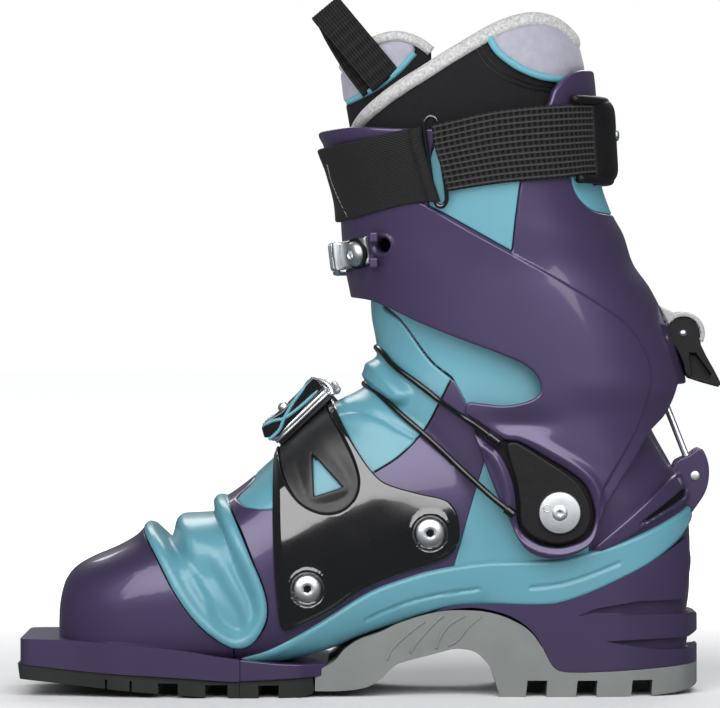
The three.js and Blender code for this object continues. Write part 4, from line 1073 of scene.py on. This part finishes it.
def strap_grid(start, end, bottom, top, lift, along, across, slant=(0.0, 0.0)):
    """Even grid on the cuff between two edges, from one angle to another; each end may lean by an angle."""
    angle = np.linspace(start, end, 400)
    middle = wrap(angle, np.full(400, 225.0), lift)
    run = np.r_[0, np.cumsum(np.linalg.norm(np.diff(middle, axis=0), axis=1))]
    angle = np.interp(np.linspace(0, run[-1], along), run, angle)
    v = np.linspace(0, 1, across)
    z = np.full((along, across), 225.0)
    lean = np.linspace(slant[0], slant[1], along)[:, None]
    angle = angle[:, None] + lean * (v - 0.5)
    for _ in range(4):
        x = wrap(angle, z, lift)[..., 0]
        z = bottom(x) + (top(x) - bottom(x)) * v
    return wrap(angle, z, lift), run[-1]


def strap(name, grid, height, thickness, body, material, replaces=()):
    """Closed strap through a grid of points, each lifted by a height."""
    faces = sheet_faces(*grid.shape[:2])
    points = grid.reshape(-1, 3)
    normals = normals_of(points, faces)
    middle = points.mean(0) * (0, 0, 1) + (39, 0, 0)
    if ((points - middle) * normals).sum() < 0:
        faces, normals = faces[:, ::-1], -normals
    top = points + normals * height.reshape(-1, 1)
    points, faces = walls(top, points - normals * thickness, faces)
    return dress(mesh_object(name, points, faces), body, material, replaces)


def edge_round(shape, amount=0.5, reach=2):
    """Drop towards the edges of a grid."""
    along, across = shape
    u = np.minimum(np.arange(along), np.arange(along)[::-1])[:, None] / reach
    v = np.minimum(np.arange(across), np.arange(across)[::-1])[None, :] / reach
    t = np.clip(1 - np.minimum(u, v), 0, 1)
    return -amount * t * t


def cloth(name, dark, light, weave_amount, roughness=0.8, bump=0.00012):
    """Woven webbing: threads take their colour from the weave's own height, with painted shade in the low
    parts and openings.
    """
    made = finish(name, dark, roughness, sheen=0.03, specular=0.25, noise=(0.3, 700),
                  bump=(bump, 1700), wear=(0.06, 300))
    tree = made.node_tree
    shader = tree.nodes["Principled BSDF"]
    base = shader.inputs["Base Color"].links[0].from_socket
    height = tree.nodes.new("ShaderNodeAttribute")
    height.attribute_name = "weave"
    blend = tree.nodes.new("ShaderNodeMix")
    blend.data_type = "RGBA"
    blend.inputs["B"].default_value = (*light, 1)
    scale = tree.nodes.new("ShaderNodeMath")
    scale.operation = "MULTIPLY"
    scale.inputs[1].default_value = weave_amount
    tree.links.new(height.outputs["Fac"], scale.inputs[0])
    tree.links.new(scale.outputs["Value"], blend.inputs["Factor"])
    tree.links.new(base, blend.inputs["A"])
    tree.links.new(blend.outputs["Result"], shader.inputs["Base Color"])
    return made


# Dark colour: painted shade in the webbing's lows and openings; light colour: the raised threads.
WEBBING = cloth("open_webbing", (0.0025, 0.0025, 0.0025), (0.05, 0.05, 0.05), 1.0)
TWILL = cloth("twill_webbing", (0.0015, 0.0015, 0.002), (0.02, 0.02, 0.021), 1.0)


def weave_on(made, values):
    """Keeps the weave's height with the mesh for the painted shade of its material; the underside repeats it.
    """
    layer = made.data.attributes.new("weave", "FLOAT", "POINT")
    layer.data.foreach_set("value", np.tile(values.ravel(), 2).astype(np.float32))


def open_weave(shape, length, width, pitch, row):
    """Square mesh: small openings, painted dark as shade, between raised threads, the crosswise ones a little
    lower.
    """
    along, across = shape
    u = np.linspace(0, length, along)[:, None] / pitch
    v = np.linspace(0, width, across)[None, :] / row
    opening = ramp((0.5 + 0.5 * np.cos(2 * math.pi * u)) * (0.5 + 0.5 * np.cos(2 * math.pi * v)), 0.1, 0.34)
    strand = 0.3 + 0.7 * ramp(-np.cos(2 * math.pi * v), 0.3, 0.95) * (0.75 + 0.25 * np.sin(6 * math.pi * u))
    return np.clip((1 - opening) * strand, 0, 1)


def fold_at_ends(along, length, reach, height, ends=(True, True)):
    """Swelling where webbing turns back round a wire at its ends."""
    u = np.linspace(0, length, along)
    swell = np.zeros(along)
    if ends[0]:
        swell = np.maximum(swell, np.sqrt(np.clip(1 - ((u - reach) / reach) ** 2, 0, 1)))
    if ends[1]:
        swell = np.maximum(swell, np.sqrt(np.clip(1 - ((length - u - reach) / reach) ** 2, 0, 1)))
    return height * swell[:, None]


# Diagonal ribs of the twill as a height; its material paints the low lines dark as shade.
def twill(shape, length, width, pitch):
    along, across = shape
    u = np.linspace(0, length, along)[:, None]
    v = np.linspace(0, width, across)[None, :]
    return 0.5 + 0.5 * np.sin(2 * math.pi * (v / pitch + u / (pitch * 1.7)))


STRAP_WIDTH = 31
rear_top = curve([(20, 240), (31, 242.6), (55, 247.8), (80, 250.4), (97, 251.4), (110, 251.6)])
rear_bottom = curve([(20, 212), (31, 213.4), (55, 217), (80, 219.4), (97, 221.4), (110, 222)])
for side, word in SIDES:
    shape = (360, 150)
    grid, length = strap_grid(side * 1.71, side * 0.2, rear_bottom, rear_top, 2.6, *shape, (side * 0.02, 0.0))
    pattern = open_weave(shape, length, STRAP_WIDTH, 2.5, 2.6)
    height = 0.8 * pattern + edge_round(shape, 0.7, 4) + fold_at_ends(360, length, 2.4, 1.2, (True, False))
    made = strap(f"power_strap_rear_{word}_weave", grid, height, 1.2, "cuff", WEBBING,
                 [f"power_strap_rear_{word}"])
    weave_on(made, pattern)
front_top = curve([(-24, 232.2), (-10.8, 234.2), (3, 237), (14, 239.6), (24, 241)])
front_bottom = curve([(-24, 200.6), (-10.8, 202), (3, 205.4), (14, 208), (24, 209.4)])
shape = (620, 170)
grid, length = strap_grid(1.775, 2 * math.pi - 1.775, front_bottom, front_top, 2.3, *shape, (0.02, -0.02))
pattern = twill(shape, length, STRAP_WIDTH, 1.15)
height = 0.2 * pattern + edge_round(shape, 0.6, 4) + fold_at_ends(620, length, 2.6, 2.2)
made = strap("power_strap_front_twill", grid, height, 1.2, "cuff", TWILL, ["power_strap_front"])
weave_on(made, pattern)
for side, word in SIDES:
    loop = smooth_line([(27.4, 211), (28.6, 208.0), (31, 207.8), (32.4, 211), (30.4, 226), (28.4, 241.4),
                        (27.4, 244.4), (24.8, 245.0), (22.9, 242), (25, 226)], closed=True)
    path = [on_upper.side(x, z, side, 2.4)[0] for x, z in loop]
    dress(tube(f"strap_wire_{word}", path, 1.0, 12, closed=True), "cuff", BLACK, [f"strap_loop_{word}"])
stripe = [tuple(wrap(np.array([a]), np.array([z]), 2.2)[0])
          for a, z in ((3.42, 226), (3.38, 219), (3.46, 211), (3.6, 203.6))]
dress(tube("strap_stripe", smooth_line(stripe), 0.42, 8, 0.5), "cuff", SILVER)

# Guide at the back of the cuff that holds the strap.
guide_top = curve([(90, 253.8), (110, 255.2)])
guide_bottom = curve([(90, 216.4), (110, 218.4)])
shape = (90, 50)
grid, _ = strap_grid(-0.5, 0.5, guide_bottom, guide_top, 3.4, *shape)
u, v = np.linspace(-1, 1, 90)[:, None], np.linspace(-1, 1, 50)[None, :]
bulge = 4.4 * (1 - np.abs(u) ** 4) * (1 - np.abs(v) ** 8)
strap("strap_guide_moulded", grid, bulge, 2.6, "cuff", SATIN, ["strap_guide"])
for name, height in (("strap_guide_bar_upper", 252.8), ("strap_guide_bar_lower", 219.2)):
    bar = [tuple(wrap(np.array([a]), np.array([height]), 3.6)[0]) for a in np.linspace(-0.78, 0.78, 40)]
    dress(tube(name, bar, 1.9, 16), "cuff", SATIN)
profile = [(2.6, -2), (2.6, 0), (2.2, 0.7), (1.2, 1.1), (0.4, 1.2)]
for side, word in SIDES:
    made = turned(f"guide_rivet_{word}", profile, (105.8, side * 8.0, 238.6), (1, side * 0.12, 0.05))
    dress(made, "cuff", ZINC)

# ---------- cables ----------
cable_routes = {
    "instep_cable_upper": [(54.5, 107.6, -49.2), (47, 113.3, -49), (39.6, 118.5, -48.2), (30, 125.4, 0),
                           (21, 132.4, 0), (12, 139.5, 0)],
    "instep_cable_lower": [(60.4, 77.5, -49.4), (55.5, 81.6, -48.8), (50, 86.2, -46.6), (37.9, 97.5, 0),
                           (25.2, 108.6, 0), (12.6, 119, 0)],
}
cable_ends = {
    "instep_cable_upper": [(5.0, -14, 146), (2.8, 0, 147.6), (4.2, 13, 145.4), (6.4, 25, 139.6),
                           (8.6, 31.4, 131)],
    "instep_cable_lower": [(2.4, -18, 129), (-2.4, 0, 132), (0.6, 18, 128.4), (3.0, 28.2, 122.5)],
}
for name, route in cable_routes.items():
    path = [(x, y, z) if y else tuple(on_boot.side(x, z, -1, 2.2)[0]) for x, z, y in route]
    line = smooth_line(path + cable_ends[name], parts=12)
    made = tube(name + "_sheath", line, 1.35, 14)
    made.data.materials.append(CABLE)
    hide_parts(name)
    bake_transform(made)
    ferrule = tube(name + "_ferrule", line[:9], 2.1, 16)
    dress(ferrule, "cuff", CABLE)

# ---------- liner and tongue ----------
leg_front = curve([(98, 20), (129, 9), (146, 11), (172, 8), (196, -5), (240, -8), (270, -10), (292, -10)])
leg_back = curve([
    (98, 118), (112, 112), (130, 105), (150, 100), (172, 97.5), (200, 96.5), (240, 92), (265, 91), (292, 86)])
leg_half = curve([(98, 33), (140, 31), (172, 31.5), (200, 41), (240, 44), (292, 42)])
leg_rows = [oval(z, leg_front(z), leg_back(z), leg_half(z), 2.3, 260) for z in np.linspace(140, 292, 130)]
leg = Surface(*tube_grid(leg_rows))
COLLAR = [
    (-9, 228), (-7.6, 236), (-3, 244.6), (3, 250.4), (12.6, 257.6), (22, 263.4), (33, 270.4), (44, 277),
    (54, 282.6), (62, 285.6), (70, 287), (77, 285.8), (83, 282.4), (90, 276), (100, 270)]
collar_at = curve(COLLAR)
LINER_EDGE = Outline([
    (-60, 204, "k"), *COLLAR, (140, 262, "k"), (140, 140, "k"), (118, 141, "k"), (88, 171, "k"),
    (60, 183, "k"), (32, 196, "k"), (14, 204, "k")])
EAR_EDGE = Outline([
    (49, 292, "k"), (50.6, 277.6), (54.6, 272), (62.4, 266.4), (71.6, 262.8), (82, 261.4), (120, 261, "k"),
    (120, 300, "k")])
part = region(leg, [inside(LINER_EDGE)], ring_set(2.5), [(EAR_EDGE.signed, (-1, 0, 1))])
quilt = 0.5 * np.sin(part.points[:, 0] / 9) * np.sin(part.points[:, 2] / 11)
liner = shell_piece("liner_upper", part, "cuff", NEOPRENE, 5.0, 2.5, quilt, ["liner"])
part = region(leg, [inside(LINER_EDGE), inside(EAR_EDGE)], ring_set(1.2), (), (30, -80, 240), (120, 80, 300))
ear_lift = 0.9 + 0.6 * ramp(part.depth, 0, 8)
shell_piece("liner_ear_panel", part, "cuff", PANEL, 0.2, 1.2, ear_lift)


def leg_point(x, z, side, lift=0.0):
    """Point of the liner's outside at (x, z)."""
    front, back, half = leg_front(z) - lift, leg_back(z) + lift, leg_half(z) + lift
    along = np.clip(np.abs((x - (front + back) / 2) / ((back - front) / 2)), 0, 1)
    return np.array([x, side * half * (1 - along**2.3) ** (1 / 2.3), z])


half_rim = [leg_point(x, collar_at(x), -1, -0.6) for x in np.r_[np.linspace(-8.2, 84, 60), 86, 87.2]]
rim_line = np.array(half_rim + [p * (1, -1, 1) for p in half_rim[::-1]])
rim_line = smooth_line([tuple(p) for p in rim_line[::2]], parts=4)
dress(tube("liner_rim_binding", rim_line, 3.0, 18, 1.15), "cuff", RIM)
for side, word in SIDES:
    welt = smooth_line([(50.4, 279.4), (51.2, 276.6), (54.6, 272), (62.4, 266.4), (71.6, 262.8), (80, 261.6),
                        (85, 261.4)])
    path = np.array([leg_point(x, z, side, 1.1) for x, z in welt])
    dress(tube(f"liner_piping_{word}", path, 1.5, 12), "cuff", PIPING)
    for k, offset in enumerate((5.0, 7.2)):
        stitch = [(x - offset * 0.72, z - offset * 0.72) for x, z in welt[::2]]
        stitch = [leg_point(x, z, side, 0.25) for x, z in stitch]
        dress(tube(f"liner_stitch_{word}_{k + 1}", stitch, 0.16, 6), "cuff", CABLE)

LINING_EDGE = Outline([
    (-46, 24, "k"), (130, 24, "k"), (130, 116, "k"), (100, 118, "k"), (60, 158, "k"), (-46, 170, "k")])
part = region(boot, [inside(LINING_EDGE)], ring_set(1.0), (), (-60, -80, 15), (140, 80, 190))
shell_piece("foot_lining", part, "lower", NEOPRENE, 8.0, 1.0, -5.0)

tongue_front = curve([
    (150, 2), (175, 2), (200, -4), (228, -7.4), (241, -8.6), (258, -11.4), (270, -12.6), (282, -13)])
TONGUE_BACK, TONGUE_FULLNESS = 62, 2.2


def tongue_half(z):
    return 30 - 0.02 * (z - 150)


tongue_rows = [oval(z, tongue_front(z), TONGUE_BACK, tongue_half(z), TONGUE_FULLNESS, 220)
               for z in np.linspace(150, 282, 110)]
tongue_form = Surface(*tube_grid(tongue_rows))
TONGUE_EDGE = Outline([
    (-40, 206, "k"), (-40, 262, "k"), (-12, 266.6), (-8, 272), (-2, 276), (4, 279.2), (12, 280.4), (20, 278),
    (26, 274, "k"), (27, 240, "k"), (24, 206, "k")])
GREY_TONGUE = Outline([
    (-60, 252.4, "k"), (-9.9, 252.7), (-3, 255.6), (4.3, 259.4), (12.9, 266.2), (19, 273.4, "k"),
    (19, 300, "k"), (-60, 300, "k")])
part = region(tongue_form, [inside(TONGUE_EDGE), outside(GREY_TONGUE)], ring_set(2.0))
tongue = shell_piece("tongue_lower", part, "cuff", NEOPRENE, 6.0, 2.0, 0.0, ["tongue"])
part = region(tongue_form, [inside(TONGUE_EDGE), inside(GREY_TONGUE)], ring_set(2.0))
upper_pad = 0.5 * np.sin(part.points[:, 1] * 1.1 + part.points[:, 2] * 0.5) * 0.35
grey = shell_piece("tongue_mesh_panel", part, "cuff", PANEL, 6.0, 2.0, 0.3 + upper_pad)
TONGUE_TRIM = (
    ("tongue_piping", [(-9.4, 252.9), (-3, 255.6), (4.3, 259.4), (12.9, 266.2), (18.8, 273)], 1.4, PIPING),
    ("tongue_rim", [(-11.2, 268), (-7, 272.4), (-2, 276), (4, 279), (12, 280.2), (20, 277.8), (26, 273.6)],
     2.2, RIM))
for name, line, radius, material in TONGUE_TRIM:
    half_path = []
    for x, z in smooth_line(line):
        front = tongue_front(z)
        along = np.clip(np.abs((x - (front + TONGUE_BACK) / 2) / ((TONGUE_BACK - front) / 2)), 0, 1)
        half_path.append((tongue_half(z) * (1 - along**TONGUE_FULLNESS) ** (1 / TONGUE_FULLNESS), x, z))
    path = [(x, -y, z) for y, x, z in half_path[::-1]] + [(x, y, z) for y, x, z in half_path]
    dress(tube(name, smooth_line(path[::3], parts=3), radius, 14), "cuff", material)

# ---------- pull loop ----------
way, wide = np.array((-0.64, 0, 0.77)), np.array((0.77, 0, 0.64))
base = np.array((6.8, -27.2, 261.0))
reach = [base, base + way * 15, base + way * 30]
fold = base + way * 36 + (0, 4.2, 0)
inwards = np.array((0, 1, 0))
half_turn = np.linspace(0.0, math.pi, 9)
turn = [fold + 4.2 * (math.sin(t) * way * 1.15 - math.cos(t) * inwards) for t in half_turn]
back = [base + way * 30 + (-1, 8.4, -1), base + way * 15 + (-3, 7.6, -2), base + (-4, 6, -2)]
spine = smooth_line([tuple(p) for p in reach + turn + back], parts=14)
shape = (len(spine), 60)
v = np.linspace(-7.3, 7.3, 60)
grid = spine[:, None, :] + v[None, :, None] * wide
run = np.r_[0, np.cumsum(np.linalg.norm(np.diff(spine, axis=0), axis=1))]
pattern = open_weave(shape, run[-1], 14.6, 1.9, 1.3)


def ribbon(name, grid, height, thickness):
    """Closed ribbon whose outside is the side that faces -Y at its start."""
    faces = sheet_faces(*grid.shape[:2])
    points = grid.reshape(-1, 3)
    normals = normals_of(points, faces)
    if normals[grid.shape[1] // 2, 1] > 0:
        faces, normals = faces[:, ::-1], -normals
    top = points + normals * height.reshape(-1, 1)
    return mesh_object(name, *walls(top, points - normals * thickness, faces))


made = ribbon("pull_loop_webbing", grid, 0.35 * pattern + edge_round(shape, 0.4, 3), 1.0)
dress(made, "cuff", TWILL, ["pull_loop"])
weave_on(made, pattern)

# ---------- catch at the front of the cuff ----------
flat_top = curve([(-30, 191.4), (-13, 192.6), (1, 195.4), (6, 196.4)])
flat_bottom = curve([(-30, 180.0), (-11.4, 181.0), (0.6, 183.6), (6, 184.6)])
shape = (60, 40)
grid, _ = strap_grid(3.40, 3.835, flat_bottom, flat_top, 1.2, *shape)
strap("catch_plate", grid, 2.0 + edge_round(shape, 0.7, 4), 0.6, "cuff", ZINC, ["cuff_ladder"])
shape = (160, 40)
grid, _ = strap_grid(3.02, 3.42, flat_bottom, flat_top, 1.2, *shape)
teeth = np.abs(np.linspace(0, 5, 160) % 1 - 0.5)[:, None] * 2 * np.ones((1, 40))
rise = 1.6 + 3.6 * ramp(teeth, 0.35, 0.75) + edge_round(shape, 0.8, 4)
strap("catch_ladder", grid, rise, 0.6, "cuff", ZINC)
spot, normal = on_upper.side(-3.4, 188.0, -1, 3.5)
# Dark disc round the screw: painted shade of a recess.
ring = [(6.6, -1.5), (6.7, 0.0), (6.3, 0.25), (1.0, 0.25)]
dress(turned("catch_screw_shade_disc", ring, spot, normal), "cuff", SATIN)
profile = [
    (5.2, -2), (5.4, 0.2), (5.1, 1.3), (4.2, 2.3), (2.9, 2.9), (2.0, 3.0), (1.8, 2.5), (1.7, 1.0), (0.6, 0.9)]
dress(turned("catch_screw", profile, spot, normal, hexes=(6, 7)), "cuff", ZINC)
for k, z in enumerate((183.8, 194.6)):
    corner = [(-0.4, z - 2.2), (3.2, z - 2.2), (3.2, z + 2.0), (-0.4, z + 2.0)]
    block = prism(f"catch_notch_{k + 1}", corner, -42, -30)
    dress(soften(block, 0.7, 3), "cuff", PURPLE)


def around_cuff(z, start, end, lift, count=24):
    return [tuple(wrap(np.array([a]), np.array([z]), lift)[0]) for a in np.linspace(start, end, count)]


bail = [*around_cuff(191.6, 2.36, 3.34, 4.6), *around_cuff(187.0, 3.36, 3.38, 5.2, 2),
        *around_cuff(179.6, 3.34, 2.36, 4.6)]
dress(tube("cuff_bail_wire", smooth_line(bail, parts=3), 1.15, 12), "cuff_bail", ZINC, ["cuff_bail"])

# ---------- walk mechanism ----------
PIN = np.array((134.3, 153.7))


def arc(radius, start, end):
    """Part of a circle round the lever's pin."""
    angles = np.radians(np.linspace(start, end, 18))
    return [tuple(PIN + radius * np.array((math.cos(t), math.sin(t)))) for t in angles]


LEVER = arc(7.1, 8, 176) + [(129.6, 150), (132.2, 145.6), (134.4, 140.6), (135.2, 136.4), (137.4, 134.2),
                            (143.6, 132.2), (149.4, 130.6), (150.6, 132.2), (147.4, 138.4), (144, 144.4),
                            (141.9, 148.8)]
lever = prism("walk_lever_body", LEVER, -10.6, 10.6)
scoop = [(136.9, 145.2), (139.6, 145.2), (146.4, 135.8), (145, 133.8), (138, 135.4)]
lever = combine(lever, [prism("cutter", scoop, -20, -7), prism("cutter", scoop, 7, 20)])
dress(soften(lever, 0.9, 3), "walk_lever", SATIN, ["walk_lever"])
ROOF = arc(8.8, 36, 118) + arc(7.5, 124, 36)
CHEEK = [(123.6, 165.8)] + arc(9.2, 112, -26) + arc(7.2, -22, 150)
roof = prism("walk_housing_roof", ROOF, -11, 11)
dress(soften(roof, 0.6, 3), "cuff", SILVER, ["walk_housing"])
for side, word in SIDES:
    cheek = side_prism(f"walk_housing_{word}", CHEEK, side, 10.8, 12.0)
    dress(soften(cheek, 0.5, 4), "cuff", SILVER)
bar = [(PIN[0], y, PIN[1]) for y in (-11.3, -5, 5, 11.3)]
dress(tube("walk_pin_rivet", bar, 1.5, 20), "cuff", ZINC, ["walk_pin"])
rounded_copy("walk_rod", "walk_rod_steel", "rod", ZINC, 0.25, 2)
profile = [(2.0, -2), (2.1, 0), (1.9, 0.4), (1.0, 0.6), (0.3, 0.6)]
for side, word in SIDES:
    pin = turned(f"anchor_pin_{word}", profile, (139.5, side * 9.4, 92.6), (0, side, 0))
    dress(pin, "lower", ZINC, ["anchor_pin"])

# ---------- forefoot lever ----------
RIDGE_ANGLE = math.radians(43.5)
along_ridge = np.array((math.cos(RIDGE_ANGLE), 0, math.sin(RIDGE_ANGLE)))
off_ridge = np.array((-math.sin(RIDGE_ANGLE), 0, math.cos(RIDGE_ANGLE)))


def ridge(u, y, h):
    return np.array((-28.5, y, 117.5)) + u * along_ridge + h * off_ridge


def ridge_line(points, parts=7):
    """Smooth line through points along, across and above the ridge."""
    return smooth_line([tuple(ridge(*p)) for p in points], parts=parts)


rounded_copy("forefoot_lever", "forefoot_lever_body", "forefoot_lever", BLACK, 1.2, 3)
SPREADER = [(13.6, -13, 7.0), (13.4, 0, 9.5), (9, 12, 9.1), (4, 24, 5.8), (1, 34, -1.4)]
BARS = {"lever_frame_a": [(-17, -15.6, 3.4), (-11, -16, 3.4), (-6, -16.2, 5.6), (3, -16, 8.2),
                          (14.6, -14.6, 9.8)],
        "lever_frame_b": [(-14.6, -15.4, 9.6), (-10, -16, 8.0), (-6, -16.2, 5.6), (4, -16, 4.4),
                          (15.2, -15, 4.4)],
        "lever_frame_c": [(-u, y, h) for u, y, h in SPREADER],
        "lever_frame_d": SPREADER}
LEAF = [
    (-18, 5.4), (-15.8, 9.4), (-12.6, 10.2), (-5, 8.6), (6, 9.6), (15.0, 10.2), (16.2, 8), (15.6, 3.6),
    (0, 2.4), (-13, 1.4)]
leaf = [tuple(ridge(u, 0, h)[[0, 2]]) for u, h in LEAF]
dress(soften(prism("forefoot_lever_end", leaf, -15.9, -11.5), 0.8, 3), "forefoot_lever", BLACK)
for name, bar in BARS.items():
    dress(tube(name, ridge_line(bar, 5), 0.75, 12, 0.9), "forefoot_lever", TEAL)
profile = [(2.2, -3), (2.4, 0), (2.5, 1.0), (2.2, 2.0), (1.2, 2.7), (0.3, 2.9)]
dress(turned("lever_knob", profile, ridge(-3, -12, 8.6), off_ridge), "forefoot_lever", ZINC)
rounded_copy("forefoot_ladder", "forefoot_ladder_plate", "lower", SATIN, 0.3, 2)
for k, y in enumerate(np.linspace(-14.4, -4, 5)):
    bar = [ridge(u, y, 0.5 + 0.09 * (y + 14.4)) for u in np.linspace(-15.6, 15.6, 6)]
    dress(tube(f"ladder_tooth_{k + 1}", bar, 0.75, 10), "lower", ZINC)
BAIL_HALF = [(15.4, 8, 3.4), (15.6, 0, 3.0), (15.4, -12, 2.2), (13, -14.6, 2.0)]
bail = ridge_line(BAIL_HALF + [(-u, y, h) for u, y, h in BAIL_HALF[::-1]])
dress(tube("forefoot_bail_wire", bail, 0.95, 12), "forefoot_bail", ZINC, ["forefoot_bail"])
bracket = ridge_line([(15.8, -15, -1.5), (17.2, -14, 1.5), (17.0, -12, 5.0), (15.6, -10, 7.6)])
dress(tube("lever_bracket", bracket, 1.2, 12), "forefoot_lever", ZINC)
tab = ridge_line([(18.4, -12, -2.0), (19, -8, 0.4), (19, 0, 1.6), (19, 8, 0.4), (18.4, 12, -2.0)])
dress(tube("plate_top_tab", tab, 1.5, 12, 0.7), "lower", SILVER)

# ---------- closures on the lateral side ----------
for node, body, material, width in (
        ("forefoot_base", "lower", SATIN, 0.7), ("instep_base", "lower", SATIN, 0.6),
        ("instep_lever", "instep_lever", BLACK, 1.1), ("cuff_base", "cuff", SATIN, 0.5),
        ("cuff_lever", "cuff_lever", BLACK, 1.1)):
    rounded_copy(node, node + "_moulded", body, material, width, 3)
rivet = [(2.3, -2.5), (2.4, 0), (2.1, 0.5), (1.1, 0.8), (0.3, 0.8)]
for name, x, z, finder, body, lift in (("forefoot_base_rivet_1", -30, 80, on_boot, "lower", 3.9),
                                       ("forefoot_base_rivet_2", -20, 92, on_boot, "lower", 3.9),
                                       ("instep_base_rivet", 8, 98, on_boot, "lower", 2.6),
                                       ("cuff_base_rivet", 29, 187, on_upper, "cuff", 1.9)):
    spot, normal = finder.side(x, z, 1, lift)
    dress(turned(name, rivet, spot, normal), body, ZINC)
for name, body, low, high in (("instep_lever_pin", "instep_lever", (-1.6, 31.5, 116), (17.6, 31.5, 116)),
                              ("cuff_lever_pin", "cuff_lever", (3.2, 37.3, 178.6), (3.2, 37.3, 196.4))):
    steps = np.linspace(0, 1, 5)[:, None]
    dress(tube(name, np.array(low) + (np.array(high) - low) * steps, 1.5, 20), body, ZINC)
LEVER_INLAYS = {
    "instep_lever": [(8 + s * 4.2, z) for s, z in ((-1, 76), (-0.9, 84), (0, 96), (0.9, 84), (1, 76))],
    "cuff_lever": [(x, 187.5 + s * 3.4) for s, x in ((-1, 40), (-0.9, 30), (0, 14), (0.9, 30), (1, 40))]}
for lever_name, route in LEVER_INLAYS.items():
    solid = bpy.data.objects[lever_name + "_moulded"].data
    tree = BVHTree.FromPolygons([v.co / MM for v in solid.vertices], [p.vertices[:] for p in solid.polygons])
    path = []
    for x, z in smooth_line(route):
        hit = tree.ray_cast(Vector((x, 200, z)), Vector((0, -1, 0)))[0]
        if hit:
            path.append(hit + Vector((0, 0.2, 0)))
    dress(tube(lever_name + "_inlay", path, 0.9, 10), lever_name, TEAL)

# ---------- inside of the boot ----------
rounded_copy("pin_plate", "pin_plate_steel", "toe", ZINC, 0.4)
rounded_copy("boot_board", "boot_board_moulded", "lower", SATIN, 0.8)
footbed = rounded_copy("footbed", "footbed_cloth", "lower", FELT, 1.4, 4)
toe_liner = rounded_copy("liner_toe", "liner_toe_pad", "toe", NEOPRENE, 1.4, 3)

# ---------- stage ----------
def stage_sheet(name, points, faces, material):
    mesh = bpy.data.meshes.new(name)
    mesh.from_pydata(points, [], faces)
    mesh.materials.append(material)
    sheet = bpy.data.objects.new(name, mesh)
    bpy.context.scene.collection.objects.link(sheet)
    return sheet


def look_from(made, place, aim):
    """Puts a lamp or a camera at a place and points it at another."""
    made.location = place
    made.rotation_euler = (Vector(aim) - Vector(place)).to_track_quat("-Z", "Y").to_euler()


def studio():
    """White paper floor that brightens outwards, a round white wall seen from inside, and two softboxes."""
    white = finish("white_paper", (0.86, 0.86, 0.87), 0.85, noise=(0.01, 3))
    tree = white.node_tree
    shader = tree.nodes["Principled BSDF"]
    shader.inputs["Emission Color"].default_value = (1, 1, 1, 1)
    place = tree.nodes.new("ShaderNodeTexCoord")
    distance = tree.nodes.new("ShaderNodeVectorMath")
    distance.operation = "LENGTH"
    glow = tree.nodes.new("ShaderNodeMapRange")
    glow.inputs["From Min"].default_value = 0.2
    glow.inputs["From Max"].default_value = 1.0
    glow.inputs["To Max"].default_value = 0.9
    tree.links.new(place.outputs["Object"], distance.inputs[0])
    tree.links.new(distance.outputs["Value"], glow.inputs["Value"])
    tree.links.new(glow.outputs["Result"], shader.inputs["Emission Strength"])
    floor = stage_sheet("floor", [(-9, -9, 0), (9, -9, 0), (9, 9, 0), (-9, 9, 0)], [(0, 1, 2, 3)], white)
    floor.visible_glossy = False

    glow_wall = bpy.data.materials.new("white_wall")
    glow_wall.use_nodes = True
    tree = glow_wall.node_tree
    tree.nodes.remove(tree.nodes["Principled BSDF"])
    light = tree.nodes.new("ShaderNodeEmission")
    clear = tree.nodes.new("ShaderNodeBsdfTransparent")
    facing = tree.nodes.new("ShaderNodeNewGeometry")
    mixed = tree.nodes.new("ShaderNodeMixShader")
    tree.links.new(facing.outputs["Backfacing"], mixed.inputs["Fac"])
    tree.links.new(light.outputs["Emission"], mixed.inputs[1])
    tree.links.new(clear.outputs["BSDF"], mixed.inputs[2])
    tree.links.new(mixed.outputs["Shader"], tree.nodes["Material Output"].inputs["Surface"])
    turn = full_turn(64)
    ring = [(8.5 * math.cos(t), 8.5 * math.sin(t), z) for z in (-0.1, 9) for t in turn]
    faces = [(i, i + 64, (i + 1) % 64 + 64, (i + 1) % 64) for i in range(64)]
    wall = stage_sheet("wall", ring, faces, glow_wall)
    for way in ("visible_diffuse", "visible_glossy", "visible_transmission", "visible_shadow"):
        setattr(wall, way, False)

    world = bpy.data.worlds.new("studio")
    bpy.context.scene.world = world
    world.use_nodes = True
    world.node_tree.nodes["Background"].inputs["Color"].default_value = (0.9, 0.95, 1.0, 1)
    world.node_tree.nodes["Background"].inputs["Strength"].default_value = 0.1

    def softbox(name, place, aim, size, power):
        light = bpy.data.lights.new(name, "AREA")
        light.shape = "RECTANGLE"
        light.size, light.size_y = size
        light.energy = power
        made = bpy.data.objects.new(name, light)
        bpy.context.scene.collection.objects.link(made)
        look_from(made, place, aim)

    softbox("main_softbox", (-0.1, -1.5, 1.2), (0, 0, 0.12), (2.8, 1.7), 56)
    softbox("back_softbox", (0.1, 1.3, 1.1), (0, 0, 0.12), (1.6, 0.7), 14)

    camera = bpy.data.objects.new("camera", bpy.data.cameras.new("camera"))
    bpy.context.scene.collection.objects.link(camera)
    look_from(camera, (-0.0043, -2.0, 0.170), (-0.0043, 0, 0.1447))
    camera.data.sensor_width = 36
    camera.data.lens = 232
    camera.data.clip_end = 20
    bpy.context.scene.camera = camera
    bpy.context.scene.view_settings.view_transform = "Standard"


studio()
